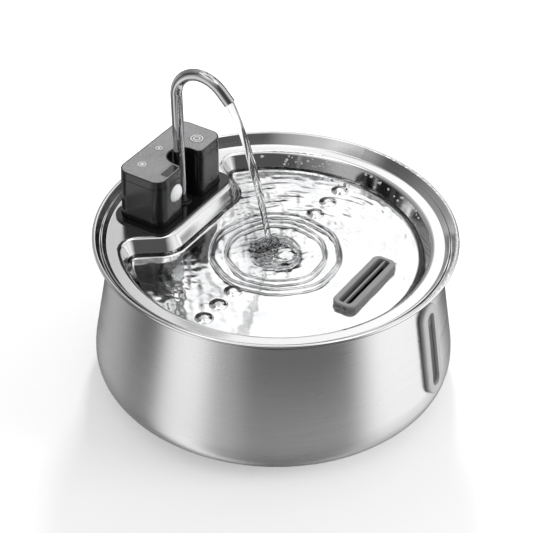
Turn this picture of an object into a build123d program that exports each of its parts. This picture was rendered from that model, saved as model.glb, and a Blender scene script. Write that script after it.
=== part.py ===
from build123d import *
import math
import os

# Pet water fountain: a belly-shaped steel bowl, a drop-in steel tray with a sunken basin,
# a black cradle with a cordless two-lobed module, and a gooseneck spout over the basin.
# Frame: +Z up, origin at the middle of the base, module at +Y, drain at -Y, and the level
# window window_turn degrees round from -Y towards +X.

os.makedirs("parts", exist_ok=True)

# ---------------------------------------------------------------- driving sizes (mm)
# bowl
bowl_sheet = 0.8
belly_radius = 125.9
foot_radius = 93.6
belly_height = 21.6
belly_low_turn = 40.0
belly_blend_radius = 60.0
foot_recess = 1.2
foot_recess_radius = 72.0
rim_height = 115.0
rim_radius = 125.0
bead_radius = 1.6
bead_turn = 265.0
ledge_drop = 5.6
ledge_width = 1.75
neck_bend_radius = 1.2
heel_bend_radius = 2.8
funnel_rise = 50.0

# tray
tray_sheet = 0.8
tray_bend_radius = 1.6
tray_edge_gap = 0.43
tray_edge_length = 3.6
flange_width = 8.7
basin_depth = 13.2
basin_wall_lean = 28.0
shoulder_radius = 3.5
basin_heel_radius = 3.0
shelf_margin = 7.8
shelf_half_width = 38.8
shelf_side_angle = 52.0
shelf_corner_radius = 16.0
shelf_root_radius = 12.5

# drain grommet
drain_inset = 36.1
drain_length = 61.5
drain_width = 17.4
drain_corner_radius = 5.5
drain_rim_side = 4.0
drain_rim_end = 2.8
drain_proud = 6.0
drain_lip = 1.5
drain_groove = 1.8
drain_bar_width = 1.2
drain_bar_height = 2.6
drain_bar_drop = 0.8
drain_edge_radius = 1.0
drain_feed_width = 2.6
drain_feed_height = 1.8
drain_feed_lift = 2.2

# level window
gasket_width = 20.0
gasket_height = 70.0
gasket_drop = 9.7
gasket_proud = 3.6
gasket_edge_radius = 1.5
gasket_web = 3.0
gasket_inner_lip = 2.4
window_turn = 2.3
window_width = 9.4
window_height = 57.0
window_bite = 1.3
window_thickness = 2.4
skin_gap = 0.08

# module
module_width = 77.0
module_depth = 36.5
module_height = 53.0
module_back_gap = 10.3
module_corner_radius = 8.5
module_draft = 0.7
module_wall = 2.0
notch_radius = 10.5
notch_reach = 8.0
notch_mouth_radius = 4.5
cover_height = 6.0
cover_skin = 1.6
cover_edge_radius = 0.5
cover_tongue = 2.2
cover_tongue_wall = 1.2
seam_gap = 0.4
plate_thickness = 0.8
plate_margin = 0.8
fit_gap = 0.15
base_thickness = 2.5
base_edge_chamfer = 0.8

# keys, window strip and what lies under them
power_key_radius = 5.0
power_key_inset = 15.0
power_key_reach = 12.0
mode_key_radius = 2.9
mode_key_x = -1.3
mode_key_inset = 9.7
key_proud = 0.3
key_chamfer = 0.3
key_flange = 1.0
key_flange_thickness = 1.2
key_stem_radius = 1.6
key_travel = 0.8
key_stop_gap = 0.1
strip_width = 14.5
strip_depth = 5.6
strip_front_gap = 2.0
strip_corner_radius = 1.2
strip_sink = 0.8
strip_ledge = 1.0
board_drop = 10.6
board_thickness = 1.6
board_inset = 3.2
switch_size = 6.0
switch_chamfer = 0.5
switch_body_height = 2.6
switch_plunger_radius = 1.7
switch_plunger_height = 0.8

# module inside
boss_radius = 3.2
boss_inset_x = 4.7
boss_inset_y = 5.4
screw_radius = 1.25
screw_gap = 0.05
screw_length = 9.0
screw_head_radius = 2.5
screw_head_height = 1.4
screw_slot_width = 0.7
screw_slot_depth = 0.6
seal_width = 1.2
seal_height = 0.8
seal_inset = 0.5
cell_width = 16.0
cell_depth = 29.0
cell_height = 36.0
cell_corner_radius = 3.0
cell_edge_radius = 1.0
cell_gap = 1.5
cell_split = 0.4
pin_radius = 0.8
pin_pitch = 5.0
pin_inset = 9.0
pin_flange_radius = 1.6
pin_flange_height = 0.8
pad_radius = 2.0
pad_thickness = 0.5
pad_recess = 0.6

# motion sensor
lobe_x = 20.0
lens_drop = 16.4
lens_radius = 6.5
lens_dome = 3.4
lens_skin = 0.8
lens_flange = 1.1
lens_flange_thickness = 0.9
lens_seat_depth = 0.4
sensor_radius = 4.6
sensor_length = 4.2
sensor_edge_radius = 0.5
sensor_eye_width = 4.0
sensor_eye_height = 3.0
sensor_base_radius = 5.2
sensor_base_thickness = 0.6
sensor_board_width = 14.0
sensor_board_height = 16.0
sensor_board_gap = 1.2
sensor_board_thickness = 1.2

# charging port and its flap
port_drop = 30.0
port_width = 9.0
port_height = 3.3
port_shell = 0.4
port_length = 7.4
port_tongue_width = 6.6
port_tongue_height = 0.7
port_tongue_drop = 1.4
port_back_wall = 0.8
flap_width = 13.0
flap_height = 7.6
flap_corner_radius = 2.0
flap_thickness = 1.2
flap_gap = 0.3
plug_width = 7.2
plug_height = 1.5
plug_depth = 1.0
port_seat = 0.3
port_pad = 1.6
flap_seat = 0.2
flap_edge_flat = 0.02

# cradle
lip_thickness = 1.5
lip_side_margin = 6.0
lip_front_margin = 5.8
lip_back_margin = 4.3
lip_corner_radius = 9.0
lip_back_corner_radius = 14.0
lip_edge_radius = 0.6
socket_depth = 14.2
socket_floor = 1.8
socket_wall = 1.0
socket_gap = 0.3
cutout_gap = 0.4
leg_width = 12.0
leg_thickness = 3.0
leg_inset = 9.0
leg_hook = 1.0
leg_hook_height = 2.4

# spout
tube_radius = 4.0
tube_wall = 0.8
spout_offset = 0.8
spout_seat_lift = 3.0
spout_rake = 2.0
riser_length = 98.3
bend_radius_back = 20.0
bend_radius_front = 23.0
nozzle_angle = 45.0
nozzle_length = 9.5
running_gap = 0.05
bush_radius = 7.4
bush_depth = 5.0
bush_proud = 2.2
bush_lip_radius = 5.4
bush_edge_radius = 0.5
spigot_radius = 3.5
spigot_bore = 2.6
spigot_length = 8.0
hose_wall = 1.5

# pump
pump_width = 34.0
pump_depth = 26.0
pump_height = 30.0
pump_corner_radius = 4.0
pump_edge_radius = 2.0
pump_front_reach = 5.3
pump_spigot = 5.0
pump_foot_height = 1.4
volute_radius = 15.0
chamber_radius = 12.6
chamber_depth = 7.0
rotor_radius = 6.0
rotor_length = 15.0
rotor_gap = 0.5
impeller_radius = 11.6
impeller_disc = 1.4
blade_count = 6
blade_thickness = 1.2
blade_height = 4.6
blade_sweep = 7.0
hub_radius = 3.0
shaft_radius = 1.0
shaft_seat = 1.5
cover_thickness = 1.4
inlet_radius = 5.0
inlet_hub_radius = 2.2
inlet_spoke = 1.2
inlet_spokes = 3
shaft_nose = 0.9
pump_foot_radius = 2.5

# filter basket
basket_width = 68.0
basket_depth = 38.0
basket_corner_radius = 9.0
basket_wall = 1.5
basket_floor = 1.6
basket_bottom_z = 6.0
basket_height = 48.0
basket_slot_width = 2.2
basket_slot_pitch = 4.6
basket_slot_height = 32.0
basket_slot_lift = 8.0
basket_side_slots = 5
basket_front_slots = 11
lid_thickness = 2.4
lid_lip = 1.2
lid_lip_depth = 2.5
lid_hose_gap = 0.6
lid_leg_gap = 0.2
lid_edge_radius = 0.8
filter_thickness = 13.5
filter_height = 43.0
filter_gap = 0.3
filter_rib_pitch = 8.0
filter_rib_depth = 1.0
filter_rib_count = 5

# ---------------------------------------------------------------- worked-out places
# bowl rim: the sheet runs out over a ledge, up a funnel and round a rolled bead
rise = math.radians(funnel_rise)
ledge_height = rim_height - ledge_drop
ledge_under_z = ledge_height - bowl_sheet
curl_radius = bead_radius - bowl_sheet
bead_centre = (rim_radius - bead_radius, rim_height)
funnel_top = (
    bead_centre[0] - curl_radius * math.sin(rise),
    bead_centre[1] + curl_radius * math.cos(rise),
)
heel_top_z = ledge_under_z + heel_bend_radius * (1 - math.cos(rise))
funnel_run = (funnel_top[1] - heel_top_z) / math.tan(rise)
ledge_end_x = funnel_top[0] - funnel_run - heel_bend_radius * math.sin(rise)
neck_centre = (ledge_end_x - ledge_width, ledge_under_z - neck_bend_radius)

# bowl wall: the straight run touches the belly's arc on one side and the neck's bend on the other
belly_centre = (belly_radius - belly_blend_radius, belly_height)
neck_run = neck_centre[0] - belly_centre[0]
neck_climb = neck_centre[1] - belly_centre[1]
touching = (belly_blend_radius + neck_bend_radius) / math.hypot(neck_run, neck_climb)
wall_lean = math.degrees(math.atan2(neck_climb, neck_run) - math.acos(touching))

# tray: the turned-up edge runs beside the bowl's funnel with the same gap all the way up
bend_difference = heel_bend_radius - bowl_sheet - tray_bend_radius
edge_shift = (tray_edge_gap - bend_difference * (1 - math.cos(rise))) / math.sin(rise)
flange_end_x = ledge_end_x - edge_shift
flange_top_z = ledge_height + tray_sheet
basin_radius = flange_end_x - flange_width
basin_floor_z = flange_top_z - basin_depth
drain_y = drain_inset - basin_radius

# module and cradle
module_y = flange_end_x - module_back_gap - module_depth / 2
module_front_y = module_y - module_depth / 2
module_back_y = module_y + module_depth / 2
shelf_front_y = module_front_y - shelf_margin
notch_y = module_front_y + notch_reach
socket_floor_z = flange_top_z - socket_depth
module_bottom_z = socket_floor_z
module_top_z = module_bottom_z + module_height
shell_bottom_z = module_bottom_z + base_thickness
cover_bottom_z = module_top_z - cover_height
shell_top_z = cover_bottom_z - seam_gap
plate_under_z = module_top_z - plate_thickness
cover_skin_under_z = plate_under_z - cover_skin
draft_growth = math.tan(math.radians(module_draft))
base_growth = module_height * draft_growth
lip_top_z = flange_top_z + lip_thickness
tub_bottom_z = socket_floor_z - socket_floor
power_key_x = module_width / 2 - power_key_inset
power_key_y = module_front_y + power_key_reach
mode_key_y = module_back_y - mode_key_inset
strip_centre_x = -lobe_x
lens_x = -lobe_x
lens_z = module_top_z - lens_drop
port_z = module_top_z - port_drop
board_z = module_top_z - board_drop
boss_x = module_width / 2 - boss_inset_x
cell_x = notch_radius + module_wall + cell_gap + cell_width / 2
pin_x = -lobe_x
pin_y = module_back_y - pin_inset

# spout, pump and filter basket
spout_foot_y = notch_y + spout_offset
spout_foot_z = socket_floor_z + spout_seat_lift
basket_y = module_y
basket_floor_z = basket_bottom_z + basket_floor
basket_top_z = basket_bottom_z + basket_height
lid_top_z = basket_top_z + lid_thickness
leg_x = basket_width / 2 - leg_inset
pump_bottom_z = basket_floor_z + pump_foot_height
pump_axis_z = pump_bottom_z + pump_height / 2
pump_top_z = pump_bottom_z + pump_height

# level window
gasket_centre_z = ledge_under_z - gasket_drop - gasket_height / 2


def write(piece, name):
    """Labels a finished piece and writes it to its own file."""
    piece.part.label = name
    export_step(piece.part, f"parts/{name}.step")


# ================================================================ bowl
# the belly's corner is two tangent arcs: x and y runs of both add up to its width and height
turn_sin = math.sin(math.radians(belly_low_turn))
turn_cos = math.cos(math.radians(belly_low_turn))
corner_width = belly_radius - foot_radius
corner_scale = turn_sin * turn_cos - (1 - turn_sin) * (1 - turn_cos)
low_arc_radius = (corner_width * turn_cos - belly_height * (1 - turn_sin)) / corner_scale
high_arc_radius = (belly_height * turn_sin - corner_width * (1 - turn_cos)) / corner_scale

with BuildLine() as side:
    low_arc = JernArc((foot_radius, 0), (1, 0), low_arc_radius, belly_low_turn)
    corner = JernArc(low_arc @ 1, low_arc % 1, high_arc_radius, 90 - belly_low_turn)
    belly = JernArc(corner @ 1, (0, 1), belly_blend_radius, wall_lean)
    neck_rise = neck_bend_radius * (1 + math.sin(math.radians(wall_lean)))
    wall_rise = ledge_under_z - neck_rise - (belly @ 1).Y
    wall = PolarLine(
        belly @ 1, wall_rise, angle=90 + wall_lean, length_mode=LengthMode.VERTICAL
    )
neck_start = wall @ 1
neck_heading = wall % 1
side_wire = side.wires()[0]


def side_solid(distance):
    """Solid of revolution inside the bowl's side, moved outwards by a distance."""
    way = Side.RIGHT if distance > 0 else Side.LEFT
    with BuildPart() as body:
        with BuildSketch(Plane.XZ):
            with BuildLine():
                moved = side_wire
                if distance:
                    moved = side_wire.offset_2d(abs(distance), side=way, closed=False)
                add(moved)
                low, high = sorted([moved @ 0, moved @ 1], key=lambda point: point.Y)
                Polyline(low, (0, low.Y), (0, high.Y), high)
            make_face()
        revolve(axis=Axis.Z)
    return body.part


with BuildLine() as bowl_outside:
    Polyline(
        (0, foot_recess),
        (foot_recess_radius - foot_recess, foot_recess),
        (foot_recess_radius, 0),
        (foot_radius, 0),
    )
    add(side_wire)
    neck = JernArc(neck_start, neck_heading, neck_bend_radius, -(90 + wall_lean))
    ledge = Line(neck @ 1, (ledge_end_x, ledge_under_z))
    heel = JernArc(ledge @ 1, (1, 0), heel_bend_radius, funnel_rise)
    funnel = Line(heel @ 1, funnel_top)
    JernArc(funnel @ 1, funnel % 1, curl_radius, -bead_turn)

turn = math.radians(window_turn)
window_plane = Plane(
    origin=(0, 0, gasket_centre_z),
    x_dir=(math.cos(turn), math.sin(turn), 0),
    z_dir=(math.sin(turn), -math.cos(turn), 0),
)
slot_width = gasket_width - 2 * gasket_web - 2 * skin_gap
slot_height = gasket_height - 2 * gasket_web - 2 * skin_gap

with BuildPart() as bowl:
    with BuildSketch(Plane.XZ):
        with BuildLine():
            add(bowl_outside.wires()[0].offset_2d(bowl_sheet, side=Side.LEFT))
        make_face()
    revolve(axis=Axis.Z)
    with BuildSketch(window_plane):
        SlotOverall(slot_height + 2 * skin_gap, slot_width + 2 * skin_gap, rotation=90)
    extrude(amount=2 * belly_radius, mode=Mode.SUBTRACT)
write(bowl, "bowl")

# ---------------------------------------------------------------- level window and its frame
with BuildPart() as waist:
    with BuildSketch(window_plane):
        SlotOverall(2 * gasket_height, 2 * gasket_width, rotation=90)
        SlotOverall(slot_height, slot_width, rotation=90, mode=Mode.SUBTRACT)
    extrude(amount=2 * belly_radius)
    add(side_solid(skin_gap), mode=Mode.INTERSECT)
    add(side_solid(-bowl_sheet - skin_gap), mode=Mode.SUBTRACT)

with BuildPart() as groove:
    with BuildSketch(window_plane):
        SlotOverall(window_height + 2 * window_bite, window_width + 2 * window_bite, rotation=90)
    extrude(amount=2 * belly_radius)
    add(side_solid(window_thickness / 2 + skin_gap), mode=Mode.INTERSECT)
    add(side_solid(-window_thickness / 2 - skin_gap), mode=Mode.SUBTRACT)

with BuildPart() as level_gasket:
    with BuildSketch(window_plane):
        SlotOverall(gasket_height, gasket_width, rotation=90)
    extrude(amount=2 * belly_radius)
    add(side_solid(gasket_proud), mode=Mode.INTERSECT)
    fillet(level_gasket.faces().sort_by(Axis.Y)[0].outer_wire().edges(), gasket_edge_radius)
    add(waist.part, mode=Mode.SUBTRACT)
    add(side_solid(-bowl_sheet - gasket_inner_lip), mode=Mode.SUBTRACT)
    with BuildSketch(window_plane):
        SlotOverall(window_height, window_width, rotation=90)
    extrude(amount=2 * belly_radius, mode=Mode.SUBTRACT)
    add(groove.part, mode=Mode.SUBTRACT)
write(level_gasket, "level_gasket")

with BuildPart() as level_window:
    with BuildSketch(window_plane):
        bite = window_bite - skin_gap
        SlotOverall(window_height + 2 * bite, window_width + 2 * bite, rotation=90)
    extrude(amount=2 * belly_radius)
    add(side_solid(window_thickness / 2), mode=Mode.INTERSECT)
    add(side_solid(-window_thickness / 2), mode=Mode.SUBTRACT)
write(level_window, "level_window")

# ================================================================ tray with its sunken basin
shelf_side = math.radians(shelf_side_angle)
shelf_far_x = shelf_half_width + basin_radius * math.cos(shelf_side)
shelf_far_y = shelf_front_y + basin_radius * math.sin(shelf_side)

with BuildSketch(Plane.XY.offset(flange_top_z)) as basin_mouth:
    Circle(basin_radius)
    with BuildLine():
        Polyline(
            (-shelf_far_x, shelf_far_y),
            (-shelf_half_width, shelf_front_y),
            (shelf_half_width, shelf_front_y),
            (shelf_far_x, shelf_far_y),
            close=True,
        )
    make_face(mode=Mode.SUBTRACT)
    shelf_corners = basin_mouth.vertices().filter_by(lambda v: abs(v.Y - shelf_front_y) < fit_gap)
    fillet(shelf_corners, shelf_corner_radius)
    fillet(basin_mouth.vertices().sort_by(Axis.Y)[-2:], shelf_root_radius)

with BuildLine() as tray_flange:
    flat = Line((0, ledge_height), (flange_end_x, ledge_height))
    turn_up = JernArc(flat @ 1, (1, 0), tray_bend_radius, funnel_rise)
    PolarLine(turn_up @ 1, tray_edge_length, angle=funnel_rise)

wall_run = tray_sheet / math.cos(math.radians(basin_wall_lean))
drain_web_length = drain_length - 2 * drain_groove
drain_web_width = drain_width - 2 * drain_groove
drain_web_radius = drain_corner_radius - drain_groove


def module_plan(height, growth):
    """Two-lobed outline of the module, laid at a height and grown outwards by a distance."""
    with BuildSketch(Plane.XY.offset(height)) as plan:
        with Locations((0, module_y)):
            RectangleRounded(module_width, module_depth, module_corner_radius)
        with Locations((0, notch_y)):
            Circle(notch_radius, mode=Mode.SUBTRACT)
        with Locations((0, notch_y - module_depth / 2)):
            Rectangle(2 * notch_radius, module_depth, mode=Mode.SUBTRACT)
        mouth = plan.vertices().filter_by(
            lambda v: abs(abs(v.X) - notch_radius) < fit_gap and abs(v.Y - module_front_y) < fit_gap
        )
        fillet(mouth, notch_mouth_radius)
        if growth:
            offset(amount=growth)
    return plan.sketch


def tub_plan(height, growth):
    """Plain rounded rectangle round the module's foot, laid at a height and grown outwards."""
    with BuildSketch(Plane.XY.offset(height)) as plan:
        with Locations((0, module_y)):
            RectangleRounded(
                module_width + 2 * growth,
                module_depth + 2 * growth,
                module_corner_radius + growth,
            )
    return plan.sketch


socket_growth = base_growth + socket_gap
tub_growth = socket_growth + socket_wall
cutout_growth = tub_growth + cutout_gap

with BuildPart() as tray:
    with BuildSketch(Plane.XZ):
        with BuildLine():
            add(tray_flange.wires()[0].offset_2d(tray_sheet, side=Side.LEFT))
        make_face()
    revolve(axis=Axis.Z)
    with BuildSketch(Plane.XY.offset(flange_top_z)):
        add(basin_mouth.sketch)
        offset(amount=wall_run)
    extrude(amount=-basin_depth - tray_sheet, taper=basin_wall_lean)
    with BuildSketch(Plane.XY.offset(flange_top_z)):
        add(basin_mouth.sketch)
    extrude(amount=-basin_depth, taper=basin_wall_lean, mode=Mode.SUBTRACT)

    def ring_at(height):
        """Edges of the basin that lie at a height, inside the flange's outer bend."""
        level = tray.edges().filter_by_position(Axis.Z, height - skin_gap, height + skin_gap)
        return level.filter_by(
            lambda edge: math.hypot((edge @ 0.5).X, (edge @ 0.5).Y) < basin_radius + tray_bend_radius
        )

    fillet(ring_at(basin_floor_z), basin_heel_radius)
    fillet(ring_at(basin_floor_z - tray_sheet), basin_heel_radius + tray_sheet)
    fillet(ring_at(flange_top_z), shoulder_radius)
    fillet(ring_at(ledge_height), shoulder_radius - tray_sheet)
    add(tub_plan(flange_top_z, cutout_growth))
    extrude(amount=-2 * tray_sheet, mode=Mode.SUBTRACT)
    with BuildSketch(Plane.XY.offset(basin_floor_z)):
        with Locations((0, drain_y)):
            RectangleRounded(
                drain_web_length + 2 * skin_gap,
                drain_web_width + 2 * skin_gap,
                drain_web_radius + skin_gap,
            )
    extrude(amount=-2 * tray_sheet, mode=Mode.SUBTRACT)
write(tray, "tray")

# ---------------------------------------------------------------- drain grommet
floor_under_z = basin_floor_z - tray_sheet
drain_top_z = basin_floor_z + drain_proud
opening_length = drain_length - 2 * drain_rim_end
opening_width = drain_width - 2 * drain_rim_side
bar_top_z = drain_top_z - drain_bar_drop

with BuildPart() as drain_grommet:
    with BuildSketch(Plane.XY.offset(basin_floor_z)):
        with Locations((0, drain_y)):
            RectangleRounded(drain_length, drain_width, drain_corner_radius)
    extrude(amount=drain_proud)
    fillet(drain_grommet.faces().sort_by(Axis.Z)[-1].edges(), drain_edge_radius)
    with BuildSketch(Plane.XY.offset(floor_under_z)):
        with Locations((0, drain_y)):
            RectangleRounded(drain_web_length, drain_web_width, drain_web_radius)
    extrude(amount=tray_sheet)
    with BuildSketch(Plane.XY.offset(floor_under_z - drain_lip)):
        with Locations((0, drain_y)):
            RectangleRounded(drain_length, drain_width, drain_corner_radius)
    extrude(amount=drain_lip)
    chamfer(drain_grommet.faces().sort_by(Axis.Z)[0].edges(), drain_lip / 2)
    with BuildSketch(Plane.XY.offset(drain_top_z)):
        with Locations((0, drain_y)):
            RectangleRounded(opening_length, opening_width, drain_corner_radius - drain_rim_end)
    extrude(amount=-2 * drain_proud - drain_lip, mode=Mode.SUBTRACT)
    with BuildSketch(Plane.XY.offset(bar_top_z)):
        with Locations((0, drain_y)):
            Rectangle(opening_length + drain_rim_end, drain_bar_width)
    extrude(amount=-drain_bar_height)
    # feed slots through both ends, low enough for the pool to run in under the proud rim
    with BuildSketch(Plane.YZ):
        feed_z = basin_floor_z + drain_feed_lift + drain_feed_height / 2
        with Locations((drain_y - opening_width / 4, feed_z), (drain_y + opening_width / 4, feed_z)):
            Rectangle(drain_feed_width, drain_feed_height)
    extrude(amount=drain_length, both=True, mode=Mode.SUBTRACT)
write(drain_grommet, "drain_grommet")

# ================================================================ cradle
rake = math.radians(spout_rake)
spout_way = (0, math.sin(rake), math.cos(rake))
spout_foot = (0, spout_foot_y, spout_foot_z)
spout_plane = Plane(origin=spout_foot, x_dir=(1, 0, 0), z_dir=spout_way)
bush_seat = (lip_top_z - bush_depth - spout_foot_z) / math.cos(rake)
bush_top = bush_seat + bush_depth + bush_proud

lip_front_y = module_front_y - lip_front_margin
lip_back_y = module_back_y + lip_back_margin
lip_half_width = module_width / 2 + lip_side_margin

with BuildPart() as pump_holder:
    with BuildSketch(Plane.XY.offset(flange_top_z)) as lip_plan:
        with Locations((0, (lip_front_y + lip_back_y) / 2)):
            Rectangle(2 * lip_half_width, lip_back_y - lip_front_y)
        fillet(lip_plan.vertices().sort_by(Axis.Y)[:2], lip_corner_radius)
        fillet(lip_plan.vertices().sort_by(Axis.Y)[-2:], lip_back_corner_radius)
    extrude(amount=lip_thickness)
    fillet(pump_holder.faces().sort_by(Axis.Z)[-1].edges(), lip_edge_radius)
    add(tub_plan(tub_bottom_z, tub_growth))
    extrude(amount=flange_top_z - tub_bottom_z)
    add(module_plan(socket_floor_z, socket_growth))
    extrude(amount=lip_top_z - socket_floor_z, mode=Mode.SUBTRACT)
    # two legs with hooks that hold the basket's lid
    with BuildSketch(Plane.XY.offset(tub_bottom_z)):
        with Locations((-leg_x, basket_y), (leg_x, basket_y)):
            Rectangle(leg_width, leg_thickness)
    extrude(amount=basket_top_z - leg_hook_height - tub_bottom_z)
    with BuildSketch(Plane.XY.offset(basket_top_z - skin_gap)):
        with Locations((-leg_x, basket_y + leg_hook / 2), (leg_x, basket_y + leg_hook / 2)):
            Rectangle(leg_width, leg_thickness + leg_hook)
    extrude(amount=skin_gap - leg_hook_height)
    # hose spigot under the spout
    with BuildSketch(Plane.XY.offset(tub_bottom_z)):
        with Locations((0, spout_foot_y)):
            Circle(spigot_radius)
    extrude(amount=-spigot_length)
    with BuildSketch(Plane.XY.offset(spout_foot_z)):
        with Locations((0, spout_foot_y)):
            Circle(spigot_bore)
    extrude(amount=tub_bottom_z - spigot_length - spout_foot_z, mode=Mode.SUBTRACT)
    # bore for the spout and the seat of its bush
    with BuildSketch(spout_plane):
        Circle(tube_radius + running_gap)
    extrude(amount=bush_top, mode=Mode.SUBTRACT)
    with BuildSketch(spout_plane.offset(bush_seat)):
        Circle(bush_radius)
    extrude(amount=bush_depth + bush_proud, mode=Mode.SUBTRACT)
    with BuildSketch(Plane.XY.offset(socket_floor_z)):
        with Locations((pin_x - pin_pitch, pin_y), (pin_x + pin_pitch, pin_y)):
            Circle(pad_radius)
    extrude(amount=-pad_recess, mode=Mode.SUBTRACT)
write(pump_holder, "pump_holder")

with BuildPart() as contact_pads:
    with BuildSketch(Plane.XY.offset(socket_floor_z - pad_recess)):
        with Locations((pin_x - pin_pitch, pin_y), (pin_x + pin_pitch, pin_y)):
            Circle(pad_radius - skin_gap)
    extrude(amount=pad_thickness)
write(contact_pads, "contact_pads")

with BuildPart() as spout_seal:
    with BuildSketch(spout_plane.offset(bush_seat)):
        Circle(bush_radius - skin_gap)
    extrude(amount=bush_depth + bush_proud / 2)
    fillet(spout_seal.faces().sort_by(Axis.Z)[-1].edges(), bush_edge_radius)
    with BuildSketch(spout_plane.offset(bush_seat)):
        Circle(bush_lip_radius)
    extrude(amount=bush_depth + bush_proud)
    fillet(spout_seal.faces().sort_by(Axis.Z)[-1].edges(), bush_edge_radius)
    with BuildSketch(spout_plane):
        Circle(tube_radius + running_gap)
    extrude(amount=bush_top, mode=Mode.SUBTRACT)
write(spout_seal, "spout_seal")

# ================================================================ spout
with BuildLine(Plane.YZ) as spout_line:
    riser = PolarLine((spout_foot_y, spout_foot_z), riser_length, angle=90 - spout_rake)
    back_bend = JernArc(riser @ 1, riser % 1, bend_radius_back, 90 + spout_rake)
    front_bend = JernArc(back_bend @ 1, back_bend % 1, bend_radius_front, nozzle_angle)
    nozzle = Line(front_bend @ 1, front_bend @ 1 + nozzle_length * (front_bend % 1))

with BuildPart() as spout_tube:
    with BuildSketch(spout_plane):
        Circle(tube_radius)
        Circle(tube_radius - tube_wall, mode=Mode.SUBTRACT)
    sweep(path=spout_line.wires()[0])
write(spout_tube, "spout_tube")

# ================================================================ module: shell and cover
def module_block(low, high, inset):
    """Solid with the module's outline and draft between two heights, moved inwards."""
    with BuildPart() as block:
        add(module_plan(low, (module_top_z - low) * draft_growth - inset))
        extrude(amount=high - low, taper=module_draft)
    return block.part


boss_spots = [
    (side * boss_x, module_y + end * (module_depth / 2 - boss_inset_y))
    for side in (-1, 1)
    for end in (-1, 1)
]
screw_bore_top_z = module_bottom_z + screw_head_height + screw_length
lens_front_y = module_front_y - (module_top_z - lens_z) * draft_growth
lens_seat_y = lens_front_y + module_wall - lens_seat_depth
lens_plane = Plane(origin=(lens_x, lens_seat_y, lens_z), x_dir=(1, 0, 0), z_dir=(0, -1, 0))
port_wall_y = module_back_y + (module_top_z - port_z) * draft_growth
recess_y = port_wall_y - flap_thickness - flap_seat
port_face_y = recess_y - port_seat
port_plane = Plane(origin=(0, recess_y, port_z), x_dir=(-1, 0, 0), z_dir=(0, 1, 0))

with BuildPart() as module_shell:
    add(module_block(shell_bottom_z, shell_top_z, 0))
    add(module_block(shell_bottom_z, shell_top_z, module_wall), mode=Mode.SUBTRACT)
    with BuildSketch(Plane.XY.offset(shell_bottom_z)):
        with Locations(boss_spots):
            Circle(boss_radius)
    extrude(amount=board_z - shell_bottom_z)
    # thick pad inside the back wall that carries the charging port
    with BuildSketch(port_plane):
        RectangleRounded(flap_width + 2 * port_pad, flap_height + 2 * port_pad, flap_corner_radius)
    extrude(amount=-port_pad)
    with BuildSketch(port_plane):
        RectangleRounded(
            flap_width + 2 * flap_gap,
            flap_height + 2 * flap_gap,
            flap_corner_radius + flap_gap,
        )
        with Locations((0, flap_height / 4 + flap_gap / 2)):
            Rectangle(flap_width + 2 * flap_gap, flap_height / 2 + flap_gap)
    extrude(amount=module_wall + flap_thickness, mode=Mode.SUBTRACT)
    with BuildSketch(port_plane):
        RectangleRounded(port_width + 2 * skin_gap, port_height + 2 * skin_gap, port_height / 2)
    extrude(amount=-port_pad - module_wall, mode=Mode.SUBTRACT)
    with BuildSketch(Plane.XY.offset(shell_bottom_z)):
        with Locations(boss_spots):
            Circle(screw_radius + screw_gap)
    extrude(amount=screw_bore_top_z - shell_bottom_z, mode=Mode.SUBTRACT)
    with BuildSketch(lens_plane):
        Circle(lens_radius + fit_gap)
    extrude(amount=module_wall, mode=Mode.SUBTRACT)
    with BuildSketch(lens_plane):
        Circle(lens_radius + lens_flange + fit_gap)
    extrude(amount=-module_wall, mode=Mode.SUBTRACT)
write(module_shell, "module_shell")

strip_y = module_front_y + strip_front_gap + strip_depth / 2
key_spots = [
    (power_key_x, power_key_y, power_key_radius),
    (mode_key_x, mode_key_y, mode_key_radius),
]

with BuildPart() as top_cover:
    add(module_block(cover_bottom_z, module_top_z, 0))
    fillet(top_cover.faces().sort_by(Axis.Z)[-1].edges(), cover_edge_radius)
    add(module_block(plate_under_z, module_top_z, plate_margin), mode=Mode.SUBTRACT)
    add(module_block(cover_bottom_z, cover_skin_under_z, module_wall), mode=Mode.SUBTRACT)
    tongue_inset = module_wall + fit_gap
    add(module_block(cover_bottom_z - cover_tongue, cover_skin_under_z, tongue_inset))
    add(
        module_block(
            cover_bottom_z - cover_tongue, cover_skin_under_z, tongue_inset + cover_tongue_wall
        ),
        mode=Mode.SUBTRACT,
    )
    for key_x, key_y, key_radius in key_spots:
        with BuildSketch(Plane.XY.offset(module_top_z)):
            with Locations((key_x, key_y)):
                Circle(key_radius + fit_gap)
        extrude(amount=cover_skin_under_z - module_top_z, mode=Mode.SUBTRACT)
    with BuildSketch(Plane.XY.offset(module_top_z)):
        with Locations((strip_centre_x, strip_y)):
            RectangleRounded(
                strip_width + 2 * fit_gap, strip_depth + 2 * fit_gap, strip_corner_radius + fit_gap
            )
    extrude(amount=-plate_thickness - strip_sink, mode=Mode.SUBTRACT)
    with BuildSketch(Plane.XY.offset(module_top_z)):
        with Locations((strip_centre_x, strip_y)):
            Rectangle(strip_width - 2 * strip_ledge, strip_depth - 2 * strip_ledge)
    extrude(amount=cover_skin_under_z - module_top_z, mode=Mode.SUBTRACT)
write(top_cover, "top_cover")

with BuildPart() as top_plate:
    add(module_block(plate_under_z, module_top_z, plate_margin + fit_gap))
    for key_x, key_y, key_radius in key_spots:
        with BuildSketch(Plane.XY.offset(module_top_z)):
            with Locations((key_x, key_y)):
                Circle(key_radius + fit_gap)
        extrude(amount=-plate_thickness, mode=Mode.SUBTRACT)
    with BuildSketch(Plane.XY.offset(module_top_z)):
        with Locations((strip_centre_x, strip_y)):
            RectangleRounded(
                strip_width + 2 * fit_gap, strip_depth + 2 * fit_gap, strip_corner_radius + fit_gap
            )
    extrude(amount=-plate_thickness, mode=Mode.SUBTRACT)
write(top_plate, "top_plate")

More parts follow.
